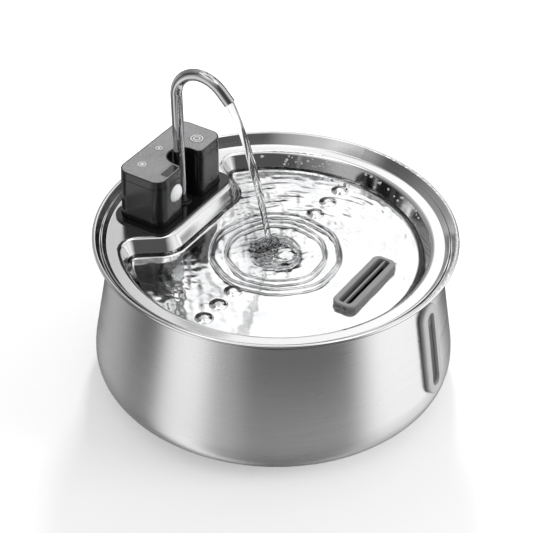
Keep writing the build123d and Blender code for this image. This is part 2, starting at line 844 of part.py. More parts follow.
with BuildPart() as status_window:
    with BuildSketch(Plane.XY.offset(module_top_z)):
        with Locations((strip_centre_x, strip_y)):
            RectangleRounded(strip_width, strip_depth, strip_corner_radius)
    extrude(amount=-plate_thickness - strip_sink)
write(status_window, "status_window")

# ---------------------------------------------------------------- keys
board_top_z = board_z + board_thickness
switch_top_z = board_top_z + switch_body_height + switch_plunger_height
key_stem_z = switch_top_z + key_travel + key_stop_gap


def key(x, y, radius):
    """Push key: round cap through the cover, flange under the skin, stem over its switch."""
    with BuildPart() as cap:
        with BuildSketch(Plane.XY.offset(cover_skin_under_z)):
            with Locations((x, y)):
                Circle(radius)
        extrude(amount=module_top_z - cover_skin_under_z + key_proud)
        chamfer(cap.faces().sort_by(Axis.Z)[-1].edges(), key_chamfer)
        with BuildSketch(Plane.XY.offset(cover_skin_under_z)):
            with Locations((x, y)):
                Circle(radius + key_flange)
        extrude(amount=-key_flange_thickness)
        with BuildSketch(Plane.XY.offset(cover_skin_under_z - key_flange_thickness)):
            with Locations((x, y)):
                Circle(key_stem_radius)
        extrude(amount=key_stem_z + key_flange_thickness - cover_skin_under_z)
    return cap


power_button = key(*key_spots[0])
write(power_button, "power_button")
mode_button = key(*key_spots[1])
write(mode_button, "mode_button")

# ---------------------------------------------------------------- module base
pin_spots = [(pin_x - pin_pitch, pin_y), (pin_x + pin_pitch, pin_y)]
pad_top_z = socket_floor_z - pad_recess + pad_thickness
seal_top_growth = (module_top_z - shell_bottom_z) * draft_growth
seal_outer = seal_top_growth - seal_inset
seal_low_z = shell_bottom_z - seal_height
head_top_z = module_bottom_z + screw_head_height

with BuildPart() as module_base:
    add(module_block(module_bottom_z, shell_bottom_z, 0))
    chamfer(module_base.faces().sort_by(Axis.Z)[0].edges(), base_edge_chamfer)
    add(module_plan(seal_low_z, seal_outer + skin_gap))
    extrude(amount=seal_height, mode=Mode.SUBTRACT)
    add(module_plan(seal_low_z, seal_outer - seal_width - skin_gap))
    extrude(amount=seal_height)
    with BuildSketch(Plane.XY.offset(module_bottom_z)):
        with Locations(boss_spots):
            Circle(screw_radius + screw_gap)
        with Locations(pin_spots):
            Circle(pin_radius + screw_gap)
    extrude(amount=base_thickness, mode=Mode.SUBTRACT)
    with BuildSketch(Plane.XY.offset(module_bottom_z)):
        with Locations(boss_spots):
            Circle(screw_head_radius + fit_gap)
    extrude(amount=screw_head_height, mode=Mode.SUBTRACT)
write(module_base, "module_base")

with BuildPart() as module_seal:
    add(module_plan(seal_low_z, seal_outer))
    extrude(amount=seal_height)
    add(module_plan(seal_low_z, seal_outer - seal_width))
    extrude(amount=seal_height, mode=Mode.SUBTRACT)
write(module_seal, "module_seal")

with BuildPart() as base_screws:
    with BuildSketch(Plane.XY.offset(head_top_z)):
        with Locations(boss_spots):
            Circle(screw_head_radius)
    extrude(amount=-screw_head_height + skin_gap)
    with BuildSketch(Plane.XY.offset(head_top_z)):
        with Locations(boss_spots):
            Circle(screw_radius)
    extrude(amount=screw_length)
    with BuildSketch(Plane.XY.offset(module_bottom_z + skin_gap)):
        with Locations(boss_spots):
            Rectangle(2 * screw_head_radius, screw_slot_width)
            Rectangle(screw_slot_width, 2 * screw_head_radius)
    extrude(amount=screw_slot_depth, mode=Mode.SUBTRACT)
write(base_screws, "base_screws")

with BuildPart() as contact_pins:
    with BuildSketch(Plane.XY.offset(pad_top_z)):
        with Locations(pin_spots):
            Circle(pin_radius)
    extrude(amount=shell_bottom_z + pin_flange_height - pad_top_z)
    with BuildSketch(Plane.XY.offset(shell_bottom_z)):
        with Locations(pin_spots):
            Circle(pin_flange_radius)
    extrude(amount=pin_flange_height)
write(contact_pins, "contact_pins")

# ---------------------------------------------------------------- battery and boards
with BuildPart() as battery_pack:
    with BuildSketch(Plane.XY.offset(shell_bottom_z)):
        with Locations((cell_x, module_y)):
            RectangleRounded(cell_width, cell_depth, cell_corner_radius)
    extrude(amount=cell_height)
    fillet(battery_pack.faces().sort_by(Axis.Z)[-1].edges(), cell_edge_radius)
    with BuildSketch(Plane.XY.offset(shell_bottom_z)):
        with Locations((cell_x - cell_width / 2, module_y), (cell_x + cell_width / 2, module_y)):
            Rectangle(2 * cell_split, cell_split)
    extrude(amount=cell_height, mode=Mode.SUBTRACT)
write(battery_pack, "battery_pack")

with BuildPart() as circuit_board:
    add(module_plan(board_z, -board_inset))
    extrude(amount=board_thickness)
write(circuit_board, "circuit_board")

key_places = [(x, y) for x, y, radius in key_spots]

with BuildPart() as key_switches:
    with BuildSketch(Plane.XY.offset(board_top_z)):
        with Locations(key_places):
            Rectangle(switch_size, switch_size)
    extrude(amount=switch_body_height)
    chamfer(key_switches.edges().filter_by(Axis.Z), switch_chamfer)
    with BuildSketch(Plane.XY.offset(board_top_z + switch_body_height)):
        with Locations(key_places):
            Circle(switch_plunger_radius)
    extrude(amount=switch_plunger_height)
write(key_switches, "key_switches")

# ---------------------------------------------------------------- motion sensor and its lens
dome_rise = lens_dome + module_wall - lens_seat_depth
sphere_radius = (lens_radius**2 + lens_dome**2) / (2 * lens_dome)
inner_bore = lens_radius - lens_skin
inner_dome = lens_dome - lens_skin
inner_sphere_radius = (inner_bore**2 + inner_dome**2) / (2 * inner_dome)
face_depth = module_wall - lens_seat_depth

with BuildPart() as sensor_lens:
    with BuildSketch(Plane(origin=(lens_x, lens_seat_y, lens_z), x_dir=(1, 0, 0), z_dir=(0, 0, 1))):
        with BuildLine():
            seat = Line((inner_bore, lens_flange_thickness), (lens_radius + lens_flange, lens_flange_thickness))
            Polyline(
                seat @ 1,
                (lens_radius + lens_flange, 0),
                (lens_radius, 0),
                (lens_radius, -face_depth),
            )
            RadiusArc((lens_radius, -face_depth), (0, -dome_rise), sphere_radius)
            Line((0, -dome_rise), (0, -face_depth - inner_dome))
            RadiusArc((0, -face_depth - inner_dome), (inner_bore, -face_depth), -inner_sphere_radius)
            Line((inner_bore, -face_depth), seat @ 0)
        make_face()
    revolve(axis=Axis((lens_x, lens_seat_y, lens_z), (0, 1, 0)))
write(sensor_lens, "sensor_lens")

sensor_board_y = lens_seat_y + lens_flange_thickness + sensor_board_gap
sensor_plane = Plane(origin=(lens_x, sensor_board_y, lens_z), x_dir=(1, 0, 0), z_dir=(0, -1, 0))

with BuildPart() as motion_sensor:
    with BuildSketch(sensor_plane):
        Circle(sensor_base_radius)
    extrude(amount=sensor_base_thickness)
    with BuildSketch(sensor_plane):
        Circle(sensor_radius)
    extrude(amount=sensor_length)
    fillet(motion_sensor.faces().sort_by(Axis.Y)[0].edges(), sensor_edge_radius)
    with BuildSketch(sensor_plane.offset(sensor_length)):
        Rectangle(sensor_eye_width, sensor_eye_height)
    extrude(amount=-sensor_edge_radius, mode=Mode.SUBTRACT)
write(motion_sensor, "motion_sensor")

with BuildPart() as sensor_board:
    with BuildSketch(Plane.XY.offset(board_z)):
        with Locations((lens_x, sensor_board_y + sensor_board_thickness / 2)):
            Rectangle(sensor_board_width, sensor_board_thickness)
    extrude(amount=-sensor_board_height)
write(sensor_board, "sensor_board")

# ---------------------------------------------------------------- charging port and flap
with BuildPart() as charging_port:
    with BuildSketch(port_plane.offset(-port_seat)):
        RectangleRounded(port_width, port_height, port_height / 2 - skin_gap)
    extrude(amount=-port_length)
    with BuildSketch(port_plane.offset(-port_seat)):
        RectangleRounded(
            port_width - 2 * port_shell,
            port_height - 2 * port_shell,
            port_height / 2 - port_shell - skin_gap,
        )
    extrude(amount=port_back_wall - port_length, mode=Mode.SUBTRACT)
    with BuildSketch(port_plane.offset(-port_seat - port_length + port_back_wall / 2)):
        Rectangle(port_tongue_width, port_tongue_height)
    extrude(amount=port_length - port_back_wall / 2 - port_tongue_drop)
write(charging_port, "charging_port")

flap_plane = port_plane.offset(flap_seat)

with BuildPart() as port_cover:
    with BuildSketch(flap_plane):
        RectangleRounded(flap_width, flap_height, flap_corner_radius)
        with Locations((0, flap_height / 4)):
            Rectangle(flap_width, flap_height / 2)
    extrude(amount=flap_thickness)
    hinge_edges = port_cover.faces().sort_by(Axis.Z)[-1].edges().filter_by(Axis.X)
    fillet(hinge_edges, flap_thickness / 2 - flap_edge_flat)
    with BuildSketch(flap_plane):
        RectangleRounded(plug_width, plug_height, plug_height / 2 - skin_gap)
    extrude(amount=-plug_depth)
write(port_cover, "port_cover")

# ================================================================ pump
chamber_front_y = spout_foot_y - pump_front_reach
pump_front = Plane(origin=(0, chamber_front_y, pump_axis_z), x_dir=(1, 0, 0), z_dir=(0, -1, 0))
box_front_y = chamber_front_y + chamber_depth
box_depth = pump_depth - chamber_depth
box_y = box_front_y + box_depth / 2
well_end = chamber_depth + rotor_length + rotor_gap
shaft_back = well_end + shaft_seat
foot_spots = [
    (side * (pump_width / 2 - 2 * pump_foot_radius), box_y + end * (box_depth / 2 - pump_foot_radius))
    for side in (-1, 1)
    for end in (-1, 1)
]

with BuildPart() as pump_body:
    with BuildSketch(Plane.XY.offset(pump_bottom_z)):
        with Locations((0, box_y)):
            RectangleRounded(pump_width, box_depth, pump_corner_radius)
    extrude(amount=pump_height)
    fillet(pump_body.faces().sort_by(Axis.Z)[-1].edges(), pump_edge_radius)
    with BuildSketch(pump_front):
        Circle(volute_radius)
    extrude(amount=-chamber_depth - pump_corner_radius)
    with BuildSketch(Plane.XY.offset(pump_axis_z)):
        with Locations((0, spout_foot_y)):
            Circle(spigot_radius)
    extrude(amount=pump_height / 2 + pump_spigot)
    with BuildSketch(Plane.XY.offset(basket_floor_z)):
        with Locations(foot_spots):
            Circle(pump_foot_radius)
    extrude(amount=pump_bottom_z - basket_floor_z)
    with BuildSketch(pump_front):
        Circle(chamber_radius)
    extrude(amount=-chamber_depth, mode=Mode.SUBTRACT)
    with BuildSketch(pump_front):
        Circle(rotor_radius + rotor_gap)
    extrude(amount=-well_end, mode=Mode.SUBTRACT)
    with BuildSketch(pump_front):
        Circle(shaft_radius + screw_gap)
    extrude(amount=-shaft_back, mode=Mode.SUBTRACT)
    with BuildSketch(Plane.XY.offset(pump_axis_z)):
        with Locations((0, spout_foot_y)):
            Circle(spigot_bore)
    extrude(amount=pump_height / 2 + pump_spigot, mode=Mode.SUBTRACT)
write(pump_body, "pump_body")

disc_depth = chamber_depth - rotor_gap
blade_root_depth = disc_depth - impeller_disc
blade_front_depth = blade_root_depth - blade_height

with BuildPart() as impeller:
    with BuildSketch(pump_front.offset(-blade_root_depth)):
        Circle(impeller_radius)
    extrude(amount=-impeller_disc)
    with BuildSketch(pump_front.offset(-disc_depth)):
        Circle(rotor_radius)
    extrude(amount=-rotor_length)
    with BuildSketch(pump_front.offset(-blade_root_depth)):
        Circle(hub_radius)
    extrude(amount=blade_height)
    with BuildSketch(pump_front.offset(-blade_root_depth)) as blades:
        with PolarLocations(0, blade_count):
            with BuildLine():
                blade_start = (hub_radius - blade_thickness / 2, 0)
                blade_tip = (impeller_radius - blade_thickness, 0)
                RadiusArc(blade_start, blade_tip, blade_sweep)
                offset(amount=blade_thickness / 2)
            make_face()
    extrude(amount=blade_height)
    with BuildSketch(pump_front):
        Circle(shaft_radius + screw_gap)
    extrude(amount=-disc_depth - rotor_length, mode=Mode.SUBTRACT)
write(impeller, "impeller")

with BuildPart() as impeller_shaft:
    with BuildSketch(pump_front.offset(shaft_nose)):
        Circle(shaft_radius)
    extrude(amount=-shaft_nose - shaft_back)
write(impeller_shaft, "impeller_shaft")

with BuildPart() as impeller_cover:
    with BuildSketch(pump_front):
        Circle(volute_radius)
        Circle(inlet_radius, mode=Mode.SUBTRACT)
        Circle(inlet_hub_radius)
        with PolarLocations(inlet_radius / 2, inlet_spokes):
            Rectangle(inlet_radius + inlet_spoke, inlet_spoke)
    extrude(amount=cover_thickness)
    with BuildSketch(pump_front):
        Circle(shaft_radius + screw_gap)
    extrude(amount=shaft_nose, mode=Mode.SUBTRACT)
write(impeller_cover, "impeller_cover")

hose_radius = spigot_radius + running_gap
hose_low_z = pump_top_z + socket_gap
hose_high_z = tub_bottom_z - socket_gap

with BuildPart() as riser_hose:
    with BuildSketch(Plane.XY.offset(hose_low_z)):
        with Locations((0, spout_foot_y)):
            Circle(hose_radius + hose_wall)
            Circle(hose_radius, mode=Mode.SUBTRACT)
    extrude(amount=hose_high_z - hose_low_z)
write(riser_hose, "riser_hose")

# ================================================================ filter basket
inner_width = basket_width - 2 * basket_wall
inner_depth = basket_depth - 2 * basket_wall
inner_corner_radius = basket_corner_radius - basket_wall
slot_centre_z = basket_bottom_z + basket_slot_lift + basket_slot_height / 2
front_slot_plane = Plane(
    origin=(0, basket_y + basket_depth / 2, slot_centre_z), x_dir=(1, 0, 0), z_dir=(0, -1, 0)
)
side_slot_plane = Plane(
    origin=(basket_width / 2, basket_y, slot_centre_z), x_dir=(0, 1, 0), z_dir=(-1, 0, 0)
)

with BuildPart() as filter_basket:
    with BuildSketch(Plane.XY.offset(basket_bottom_z)):
        with Locations((0, basket_y)):
            RectangleRounded(basket_width, basket_depth, basket_corner_radius)
    extrude(amount=basket_height)
    fillet(filter_basket.faces().sort_by(Axis.Z)[0].edges(), basket_wall)
    with BuildSketch(Plane.XY.offset(basket_floor_z)):
        with Locations((0, basket_y)):
            RectangleRounded(inner_width, inner_depth, inner_corner_radius)
    extrude(amount=basket_top_z - basket_floor_z, mode=Mode.SUBTRACT)
    with BuildSketch(front_slot_plane):
        with GridLocations(basket_slot_pitch, 0, basket_front_slots, 1):
            SlotOverall(basket_slot_height, basket_slot_width, rotation=90)
    extrude(amount=basket_depth, mode=Mode.SUBTRACT)
    with BuildSketch(side_slot_plane):
        with GridLocations(basket_slot_pitch, 0, basket_side_slots, 1):
            SlotOverall(basket_slot_height, basket_slot_width, rotation=90)
    extrude(amount=basket_width, mode=Mode.SUBTRACT)
write(filter_basket, "filter_basket")

with BuildPart() as basket_lid:
    with BuildSketch(Plane.XY.offset(basket_top_z)):
        with Locations((0, basket_y)):
            RectangleRounded(basket_width, basket_depth, basket_corner_radius)
    extrude(amount=lid_thickness)
    fillet(basket_lid.faces().sort_by(Axis.Z)[-1].edges(), lid_edge_radius)
    with BuildSketch(Plane.XY.offset(basket_top_z)):
        with Locations((0, basket_y)):
            RectangleRounded(
                inner_width - 2 * filter_gap,
                inner_depth - 2 * filter_gap,
                inner_corner_radius - filter_gap,
            )
            RectangleRounded(
                inner_width - 2 * filter_gap - 2 * lid_lip,
                inner_depth - 2 * filter_gap - 2 * lid_lip,
                inner_corner_radius - filter_gap - lid_lip,
                mode=Mode.SUBTRACT,
            )
    extrude(amount=-lid_lip_depth)
    with BuildSketch(Plane.XY.offset(lid_top_z)):
        with Locations((0, spout_foot_y)):
            Circle(hose_radius + hose_wall + lid_hose_gap)
        with Locations((-leg_x, basket_y), (leg_x, basket_y)):
            Rectangle(leg_width + 2 * lid_leg_gap, leg_thickness + 2 * lid_leg_gap)
    extrude(amount=-lid_thickness, mode=Mode.SUBTRACT)
write(basket_lid, "basket_lid")


def filter_block(side):
    """Block of filter medium that fills the basket on one side of the pump."""
    edge_x = inner_width / 2 - filter_gap
    with BuildPart() as block:
        with BuildSketch(Plane.XY.offset(basket_floor_z)):
            with Locations((0, basket_y)):
                RectangleRounded(
                    2 * edge_x, inner_depth - 2 * filter_gap, inner_corner_radius - filter_gap
                )
            with Locations((side * (edge_x - filter_thickness / 2), basket_y)):
                Rectangle(filter_thickness, inner_depth, mode=Mode.INTERSECT)
        extrude(amount=filter_height)
    return block


foam_filter = filter_block(-1)
write(foam_filter, "foam_filter")

rib_height = filter_rib_pitch - 2 * filter_rib_depth
rib_plane = Plane(
    origin=(inner_width / 2 - filter_gap - filter_thickness, basket_y, basket_floor_z + filter_height / 2),
    x_dir=(0, 1, 0),
    z_dir=(1, 0, 0),
)
carbon_body = filter_block(1)
with BuildPart() as carbon_filter:
    add(carbon_body.part)
    with BuildSketch(rib_plane):
        with GridLocations(0, filter_rib_pitch, 1, filter_rib_count):
            Rectangle(inner_depth - 4 * filter_rib_depth, rib_height)
    extrude(amount=filter_rib_depth, mode=Mode.SUBTRACT)
write(carbon_filter, "carbon_filter")
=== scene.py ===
"""Looks of the pet water fountain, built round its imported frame.

The steel, rubber and plastic parts are the frame's own nodes with worked-out finishes.
The studs pressed up from the basin's floor are made here, and so is the water: the pool in
the basin, the jet from the spout, the splash where it lands and the drops left on the steel.

Finishes, camera and lamps are in metres. Water and studs are worked out in millimetres and
turned to metres when their mesh is made.
"""
import math

import bpy
import numpy as np
from mathutils import Matrix, Vector


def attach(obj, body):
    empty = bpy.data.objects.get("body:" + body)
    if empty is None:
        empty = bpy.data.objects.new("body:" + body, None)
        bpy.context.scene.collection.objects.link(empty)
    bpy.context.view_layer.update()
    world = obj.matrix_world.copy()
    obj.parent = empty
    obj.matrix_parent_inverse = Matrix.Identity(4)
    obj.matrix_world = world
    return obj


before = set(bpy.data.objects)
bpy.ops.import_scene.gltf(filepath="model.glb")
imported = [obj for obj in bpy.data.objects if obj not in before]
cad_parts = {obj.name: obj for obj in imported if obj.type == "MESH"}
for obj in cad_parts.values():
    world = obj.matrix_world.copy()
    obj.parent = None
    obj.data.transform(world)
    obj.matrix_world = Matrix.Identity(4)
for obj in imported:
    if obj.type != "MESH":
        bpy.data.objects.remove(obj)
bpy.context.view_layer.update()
MM = 0.001
# the azimuth, in degrees, that points straight away from the lens
AWAY = 31


# ---------------------------------------------------------------- camera
def place_camera():
    """A long lens above the rim's front left, aimed a little off the middle of the rim and
    rolled one degree."""
    stand = Vector((-0.8488, -0.5162, 0.8354))
    rim_middle = Vector((0, 0, 0.115))
    yaw, pitch, roll = (math.radians(degrees) for degrees in (-0.272, -1.105, 1.089))
    focal_pixels, image_pixels, sensor_width = 1800, 533, 36

    def square_to(ahead):
        """The directions right and up, square to the one ahead."""
        right = ahead.cross(Vector((0, 0, 1))).normalized()
        return right, right.cross(ahead)

    ahead = (rim_middle - stand).normalized()
    right, up = square_to(ahead)
    ahead = (ahead + math.tan(yaw) * right + math.tan(pitch) * up).normalized()
    right, up = square_to(ahead)
    c, s = math.cos(roll), math.sin(roll)
    right, up = c * right + s * up, c * up - s * right
    data = bpy.data.cameras.new("long_lens")
    data.lens = focal_pixels / image_pixels * sensor_width
    data.sensor_width = sensor_width
    data.clip_start = 0.05
    camera = bpy.data.objects.new("long_lens", data)
    camera.matrix_world = Matrix((right, up, -ahead)).transposed().to_4x4()
    camera.location = stand
    bpy.context.scene.collection.objects.link(camera)
    bpy.context.scene.camera = camera


# ---------------------------------------------------------------- node shorthand
class Tree:
    """Adds shader nodes to one tree and links them by socket."""

    def __init__(self, tree):
        self.tree = tree

    def put(self, socket, value):
        """Links a socket's value to this socket, or sets a constant."""
        if isinstance(value, bpy.types.NodeSocket):
            self.tree.links.new(value, socket)
        else:
            socket.default_value = value

    def node(self, kind, settings=None, **sockets):
        """A node; a socket's name is written with _ for each space."""
        made = self.tree.nodes.new(kind)
        for name, value in (settings or {}).items():
            setattr(made, name, value)
        for name, value in sockets.items():
            self.put(made.inputs[name.replace("_", " ")], value)
        return made

    def in_turn(self, kind, operation, values):
        """A node of an operation with its first inputs given in turn."""
        made = self.node(kind, {"operation": operation})
        for socket, value in zip(made.inputs, values):
            self.put(socket, value)
        return made

    def math(self, operation, *values):
        """The number that comes of an operation on numbers."""
        return self.in_turn("ShaderNodeMath", operation, values).outputs[0]

    def add(self, first, second):
        return self.math("ADD", first, second)

    def minus(self, first, second):
        return self.math("SUBTRACT", first, second)

    def times(self, first, second):
        return self.math("MULTIPLY", first, second)

    def vector(self, operation, *values):
        """The vector, or number, that comes of an operation on vectors."""
        made = self.in_turn("ShaderNodeVectorMath", operation, values)
        return made.outputs["Value" if operation in ("LENGTH", "DOT_PRODUCT") else "Vector"]

    def scaled(self, vector, factor):
        """The vector times a number."""
        made = self.in_turn("ShaderNodeVectorMath", "SCALE", [vector])
        self.put(made.inputs["Scale"], factor)
        return made.outputs["Vector"]

    def place(self):
        """Where a point lies on its own object, in metres."""
        return self.node("ShaderNodeTexCoord").outputs["Object"]

    def parts(self, vector):
        """The X, Y and Z of a vector."""
        made = self.node("ShaderNodeSeparateXYZ", Vector=vector)
        return made.outputs["X"], made.outputs["Y"], made.outputs["Z"]

    def height(self):
        """How high a point lies on its own object, in metres."""
        return self.parts(self.place())[2]

    def join(self, x, y, z):
        """A vector from its X, Y and Z."""
        return self.node("ShaderNodeCombineXYZ", X=x, Y=y, Z=z).outputs[0]

    def ease(self, value, low, high, out_low=0.0, out_high=1.0):
        """Runs smoothly from out_low at low to out_high at high."""
        made = self.node("ShaderNodeMapRange", {"interpolation_type": "SMOOTHSTEP"}, Value=value,
                         From_Min=low, From_Max=high, To_Min=out_low, To_Max=out_high)
        return made.outputs["Result"]

    def noise(self, where, scale, detail, roughness):
        """Smooth noise from nought to one, read at a place times a scale."""
        made = self.node("ShaderNodeTexNoise", Vector=where, Scale=scale, Detail=detail,
                         Roughness=roughness)
        return made.outputs["Fac"]

    def mix_colour(self, share, first, second):
        """The first colour at a share of nought, the second at one."""
        made = self.node("ShaderNodeMix", {"data_type": "RGBA"})
        self.put(made.inputs["Factor"], share)
        self.put(made.inputs[6], first)
        self.put(made.inputs[7], second)
        return made.outputs[2]


def new_effect(name, inputs, outputs):
    """A node group with named number inputs (name: default) and named number outputs."""
    group = bpy.data.node_groups.new(name, "ShaderNodeTree")
    for label, default in inputs.items():
        socket = group.interface.new_socket(name=label, in_out="INPUT",
                                            socket_type="NodeSocketFloat")
        socket.default_value = default
    for label in outputs:
        group.interface.new_socket(name=label, in_out="OUTPUT", socket_type="NodeSocketFloat")
    t = Tree(group)
    return group, t, t.node("NodeGroupInput").outputs, t.node("NodeGroupOutput").inputs


# ---------------------------------------------------------------- shared effects
def make_turned_grain():
    """Brushing left by turning: noise stretched long round the upright axis and tight across it.

    The noise is read at the direction round the axis, times a sweep, and at the height plus a
    slant times the distance from the axis, so that both walls and floors carry fine lines."""
    sweep, slant, to_mm = 2.2, 1.37, 1000.0
    fine_share, broad_share = 0.65, 0.35
    broader = (1.6, 1.6, 0.16)
    group, t, given, out = new_effect("turned_grain", {"Lines per mm": 1.6, "Depth": 1.0},
                                      ("Tone", "Height"))
    x, y, z = t.parts(t.place())
    flat = t.join(x, y, 0.0)
    reach = t.vector("LENGTH", flat)
    round_x, round_y, _ = t.parts(t.vector("NORMALIZE", flat))
    across = t.times(t.add(z, t.times(reach, slant)), to_mm)
    across = t.times(across, given["Lines per mm"])
    swept = t.join(t.times(round_x, sweep), t.times(round_y, sweep), across)
    fine = t.noise(swept, 1.0, 3.0, 0.6)
    broad = t.noise(t.vector("MULTIPLY", swept, broader), 1.0, 2.0, 0.5)
    both = t.add(t.times(fine, fine_share), t.times(broad, broad_share))
    t.put(out["Tone"], t.times(t.minus(both, 0.5), given["Depth"]))
    t.put(out["Height"], t.times(fine, given["Depth"]))
    return group


def make_moulded_skin():
    """A moulded surface: fine even grain, with slow unevenness in tone and gloss."""
    group, t, given, out = new_effect(
        "moulded_skin", {"Grains per mm": 3.0, "Fine Share": 0.4, "Unevenness": 1.0},
        ("Tone", "Gloss", "Height"))
    place = t.place()
    fine = t.noise(t.scaled(t.scaled(place, 1000.0), given["Grains per mm"]), 1.0, 2.0, 0.55)
    slow = t.noise(place, 70.0, 3.0, 0.55)
    handled = t.noise(place, 320.0, 4.0, 0.6)
    share = given["Fine Share"]
    tone = t.add(t.times(slow, t.minus(1.0, share)), t.times(fine, share))
    gloss = t.add(t.times(slow, 0.5), t.times(handled, 0.5))
    for label, pattern in (("Tone", tone), ("Gloss", gloss)):
        t.put(out[label], t.times(t.minus(pattern, 0.5), given["Unevenness"]))
    t.put(out["Height"], fine)
    return group


def make_printed_ring():
    """A printed ring: one inside a line's width of the radius from the centre, seen from above,
    over a height."""
    group, t, given, out = new_effect(
        "printed_ring",
        {"Centre X": 0.0, "Centre Y": 0.0, "Radius": 0.003, "Line": 0.0004, "Above": 0.14},
        ("Mask",))
    x, y, z = t.parts(t.place())
    dx, dy = t.minus(x, given["Centre X"]), t.minus(y, given["Centre Y"])
    reach = t.math("SQRT", t.add(t.times(dx, dx), t.times(dy, dy)))
    off = t.math("ABSOLUTE", t.minus(reach, given["Radius"]))
    line = t.minus(1.0, t.ease(t.math("DIVIDE", off, given["Line"]), 0.35, 0.65))
    high = t.math("GREATER_THAN", z, given["Above"])
    t.put(out["Mask"], t.times(line, high))
    return group


TURNED_GRAIN = make_turned_grain()
MOULDED_SKIN = make_moulded_skin()
PRINTED_RING = make_printed_ring()


# ---------------------------------------------------------------- finishes
def start_finish(name, **constants):
    """A material with a Principled shader whose plain constants are set on its own sockets."""
    material = bpy.data.materials.new(name)
    material.use_nodes = True
    shader = material.node_tree.nodes["Principled BSDF"]
    for label, value in constants.items():
        shader.inputs[label.replace("_", " ")].default_value = value
    return material, Tree(material.node_tree), shader


def effect(t, group, **values):
    """A shared effect placed in a finish with its own values."""
    return t.node("ShaderNodeGroup", {"node_tree": group}, **values).outputs


def shaded(t, colour, tone, swing):
    """The colour made lighter and darker by the tone, which swings about zero."""
    factor = t.add(1.0, t.times(tone, swing))
    return t.vector("MULTIPLY", colour, t.join(factor, factor, factor))


def bump(t, shader, height, depth):
    """Height in metres of depth, as a normal for the shader."""
    made = t.node("ShaderNodeBump", Height=height, Distance=depth, Strength=1.0)
    t.put(shader.inputs["Normal"], made.outputs["Normal"])


def steel(name, colour, rough, grain_depth, swing, lines, stretch=0.0, polish=None, painted_light_foot=None):
    """Turned steel. Polish is (low, high, roughness): the heights between which the sheet goes
    from brushed to polished, and how rough the polished end is. Painted light foot is (low, high,
    metallic low, metallic high): the heights between which the sheet goes from partly matt to
    fully metallic; the matt share paints the foot lighter, standing in for the floor's brighter
    reflection."""
    material, t, shader = start_finish(name, Metallic=1.0, Anisotropic=stretch,
                                       Anisotropic_Rotation=0.25)
    grain = effect(t, TURNED_GRAIN, Lines_per_mm=lines)
    t.put(shader.inputs["Base Color"], shaded(t, colour, grain["Tone"], swing))
    roughness = t.add(rough, t.times(grain["Tone"], 0.22))
    if polish:
        polished = t.ease(t.height(), polish[0], polish[1])
        roughness = t.add(t.times(roughness, t.minus(1.0, polished)),
                          t.times(polished, polish[2]))
    t.put(shader.inputs["Roughness"], roughness)
    # painted light: a partly matt foot catches even light with its pale colour and reads lighter
    if painted_light_foot:
        t.put(shader.inputs["Metallic"], t.ease(t.height(), *painted_light_foot))
    if stretch:
        tangent = t.node("ShaderNodeTangent", {"direction_type": "RADIAL", "axis": "Z"})
        t.put(shader.inputs["Tangent"], tangent.outputs[0])
    bump(t, shader, grain["Height"], grain_depth)
    return material


def moulded(name, colour, rough, grains=3.0, depth=0.00002, swing=0.35, gloss_swing=0.25,
            fine=0.4, **constants):
    """Moulded plastic or rubber with a fine skin."""
    material, t, shader = start_finish(name, **constants)
    skin = effect(t, MOULDED_SKIN, Grains_per_mm=grains, Fine_Share=fine)
    t.put(shader.inputs["Base Color"], shaded(t, colour, skin["Tone"], swing))
    t.put(shader.inputs["Roughness"], t.add(rough, t.times(skin["Gloss"], gloss_swing)))
    bump(t, shader, skin["Height"], depth)
    return material


def satin(name, colour, ink, centre, rings):
    """A satin face with printed rings round one centre; each ring is (radius, line), in mm."""
    material = moulded(name, colour, 0.38, grains=1.1, depth=0.00012, swing=2.2, fine=0.85)
    t = Tree(material.node_tree)
    mask = 0.0
    for radius, line in rings:
        ring = effect(t, PRINTED_RING, Centre_X=centre[0] * MM, Centre_Y=centre[1] * MM,
                      Radius=radius * MM, Line=line * MM)
        mask = t.math("MAXIMUM", mask, ring["Mask"])
    socket = material.node_tree.nodes["Principled BSDF"].inputs["Base Color"]
    t.put(socket, t.mix_colour(mask, socket.links[0].from_socket, ink))
    return material


def recoloured(material, mask, factor):
    """The finish with its colour times the factor where the mask is one."""
    t = Tree(material.node_tree)
    socket = material.node_tree.nodes["Principled BSDF"].inputs["Base Color"]
    under = socket.links[0].from_socket
    changed = t.vector("MULTIPLY", under, (factor, factor, factor))
    t.put(socket, t.mix_colour(mask(t), under, changed))
    return material


def painted_shade_behind(material, node):
    """Painted shade on rubber: its colour darkens to 0.28 from the frame's front face back towards
    the steel, over its first few millimetres, standing in for the shade on its sides."""
    window_turn, wall_lean = math.radians(2.3), math.radians(9.2523)
    starts, ends = 0.0008, 0.0045
    outward = (math.sin(window_turn) * math.cos(wall_lean),
               -math.cos(window_turn) * math.cos(wall_lean), math.sin(wall_lean))
    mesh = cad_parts[node].data
    points = np.empty(len(mesh.vertices) * 3)
    mesh.vertices.foreach_get("co", points)
    face = float((points.reshape(-1, 3) @ np.array(outward)).max())

    def behind(t):
        out = t.vector("DOT_PRODUCT", t.place(), outward)
        return t.ease(out, face - starts, face - ends)

    # painted shade: the colour is 0.28 times as light behind the front face
    return recoloured(material, behind, 0.28)


def painted_light_above(material, level):
    """Painted light on a see-through finish: its colour is 1.7 times as light over a height,
    standing in for the brighter view through air, not water, behind it."""
    blur = 0.0003
    # painted light: the colour is 1.7 times as light above the level
    return recoloured(material, lambda t: t.ease(t.height(), level - blur, level + blur), 1.7)


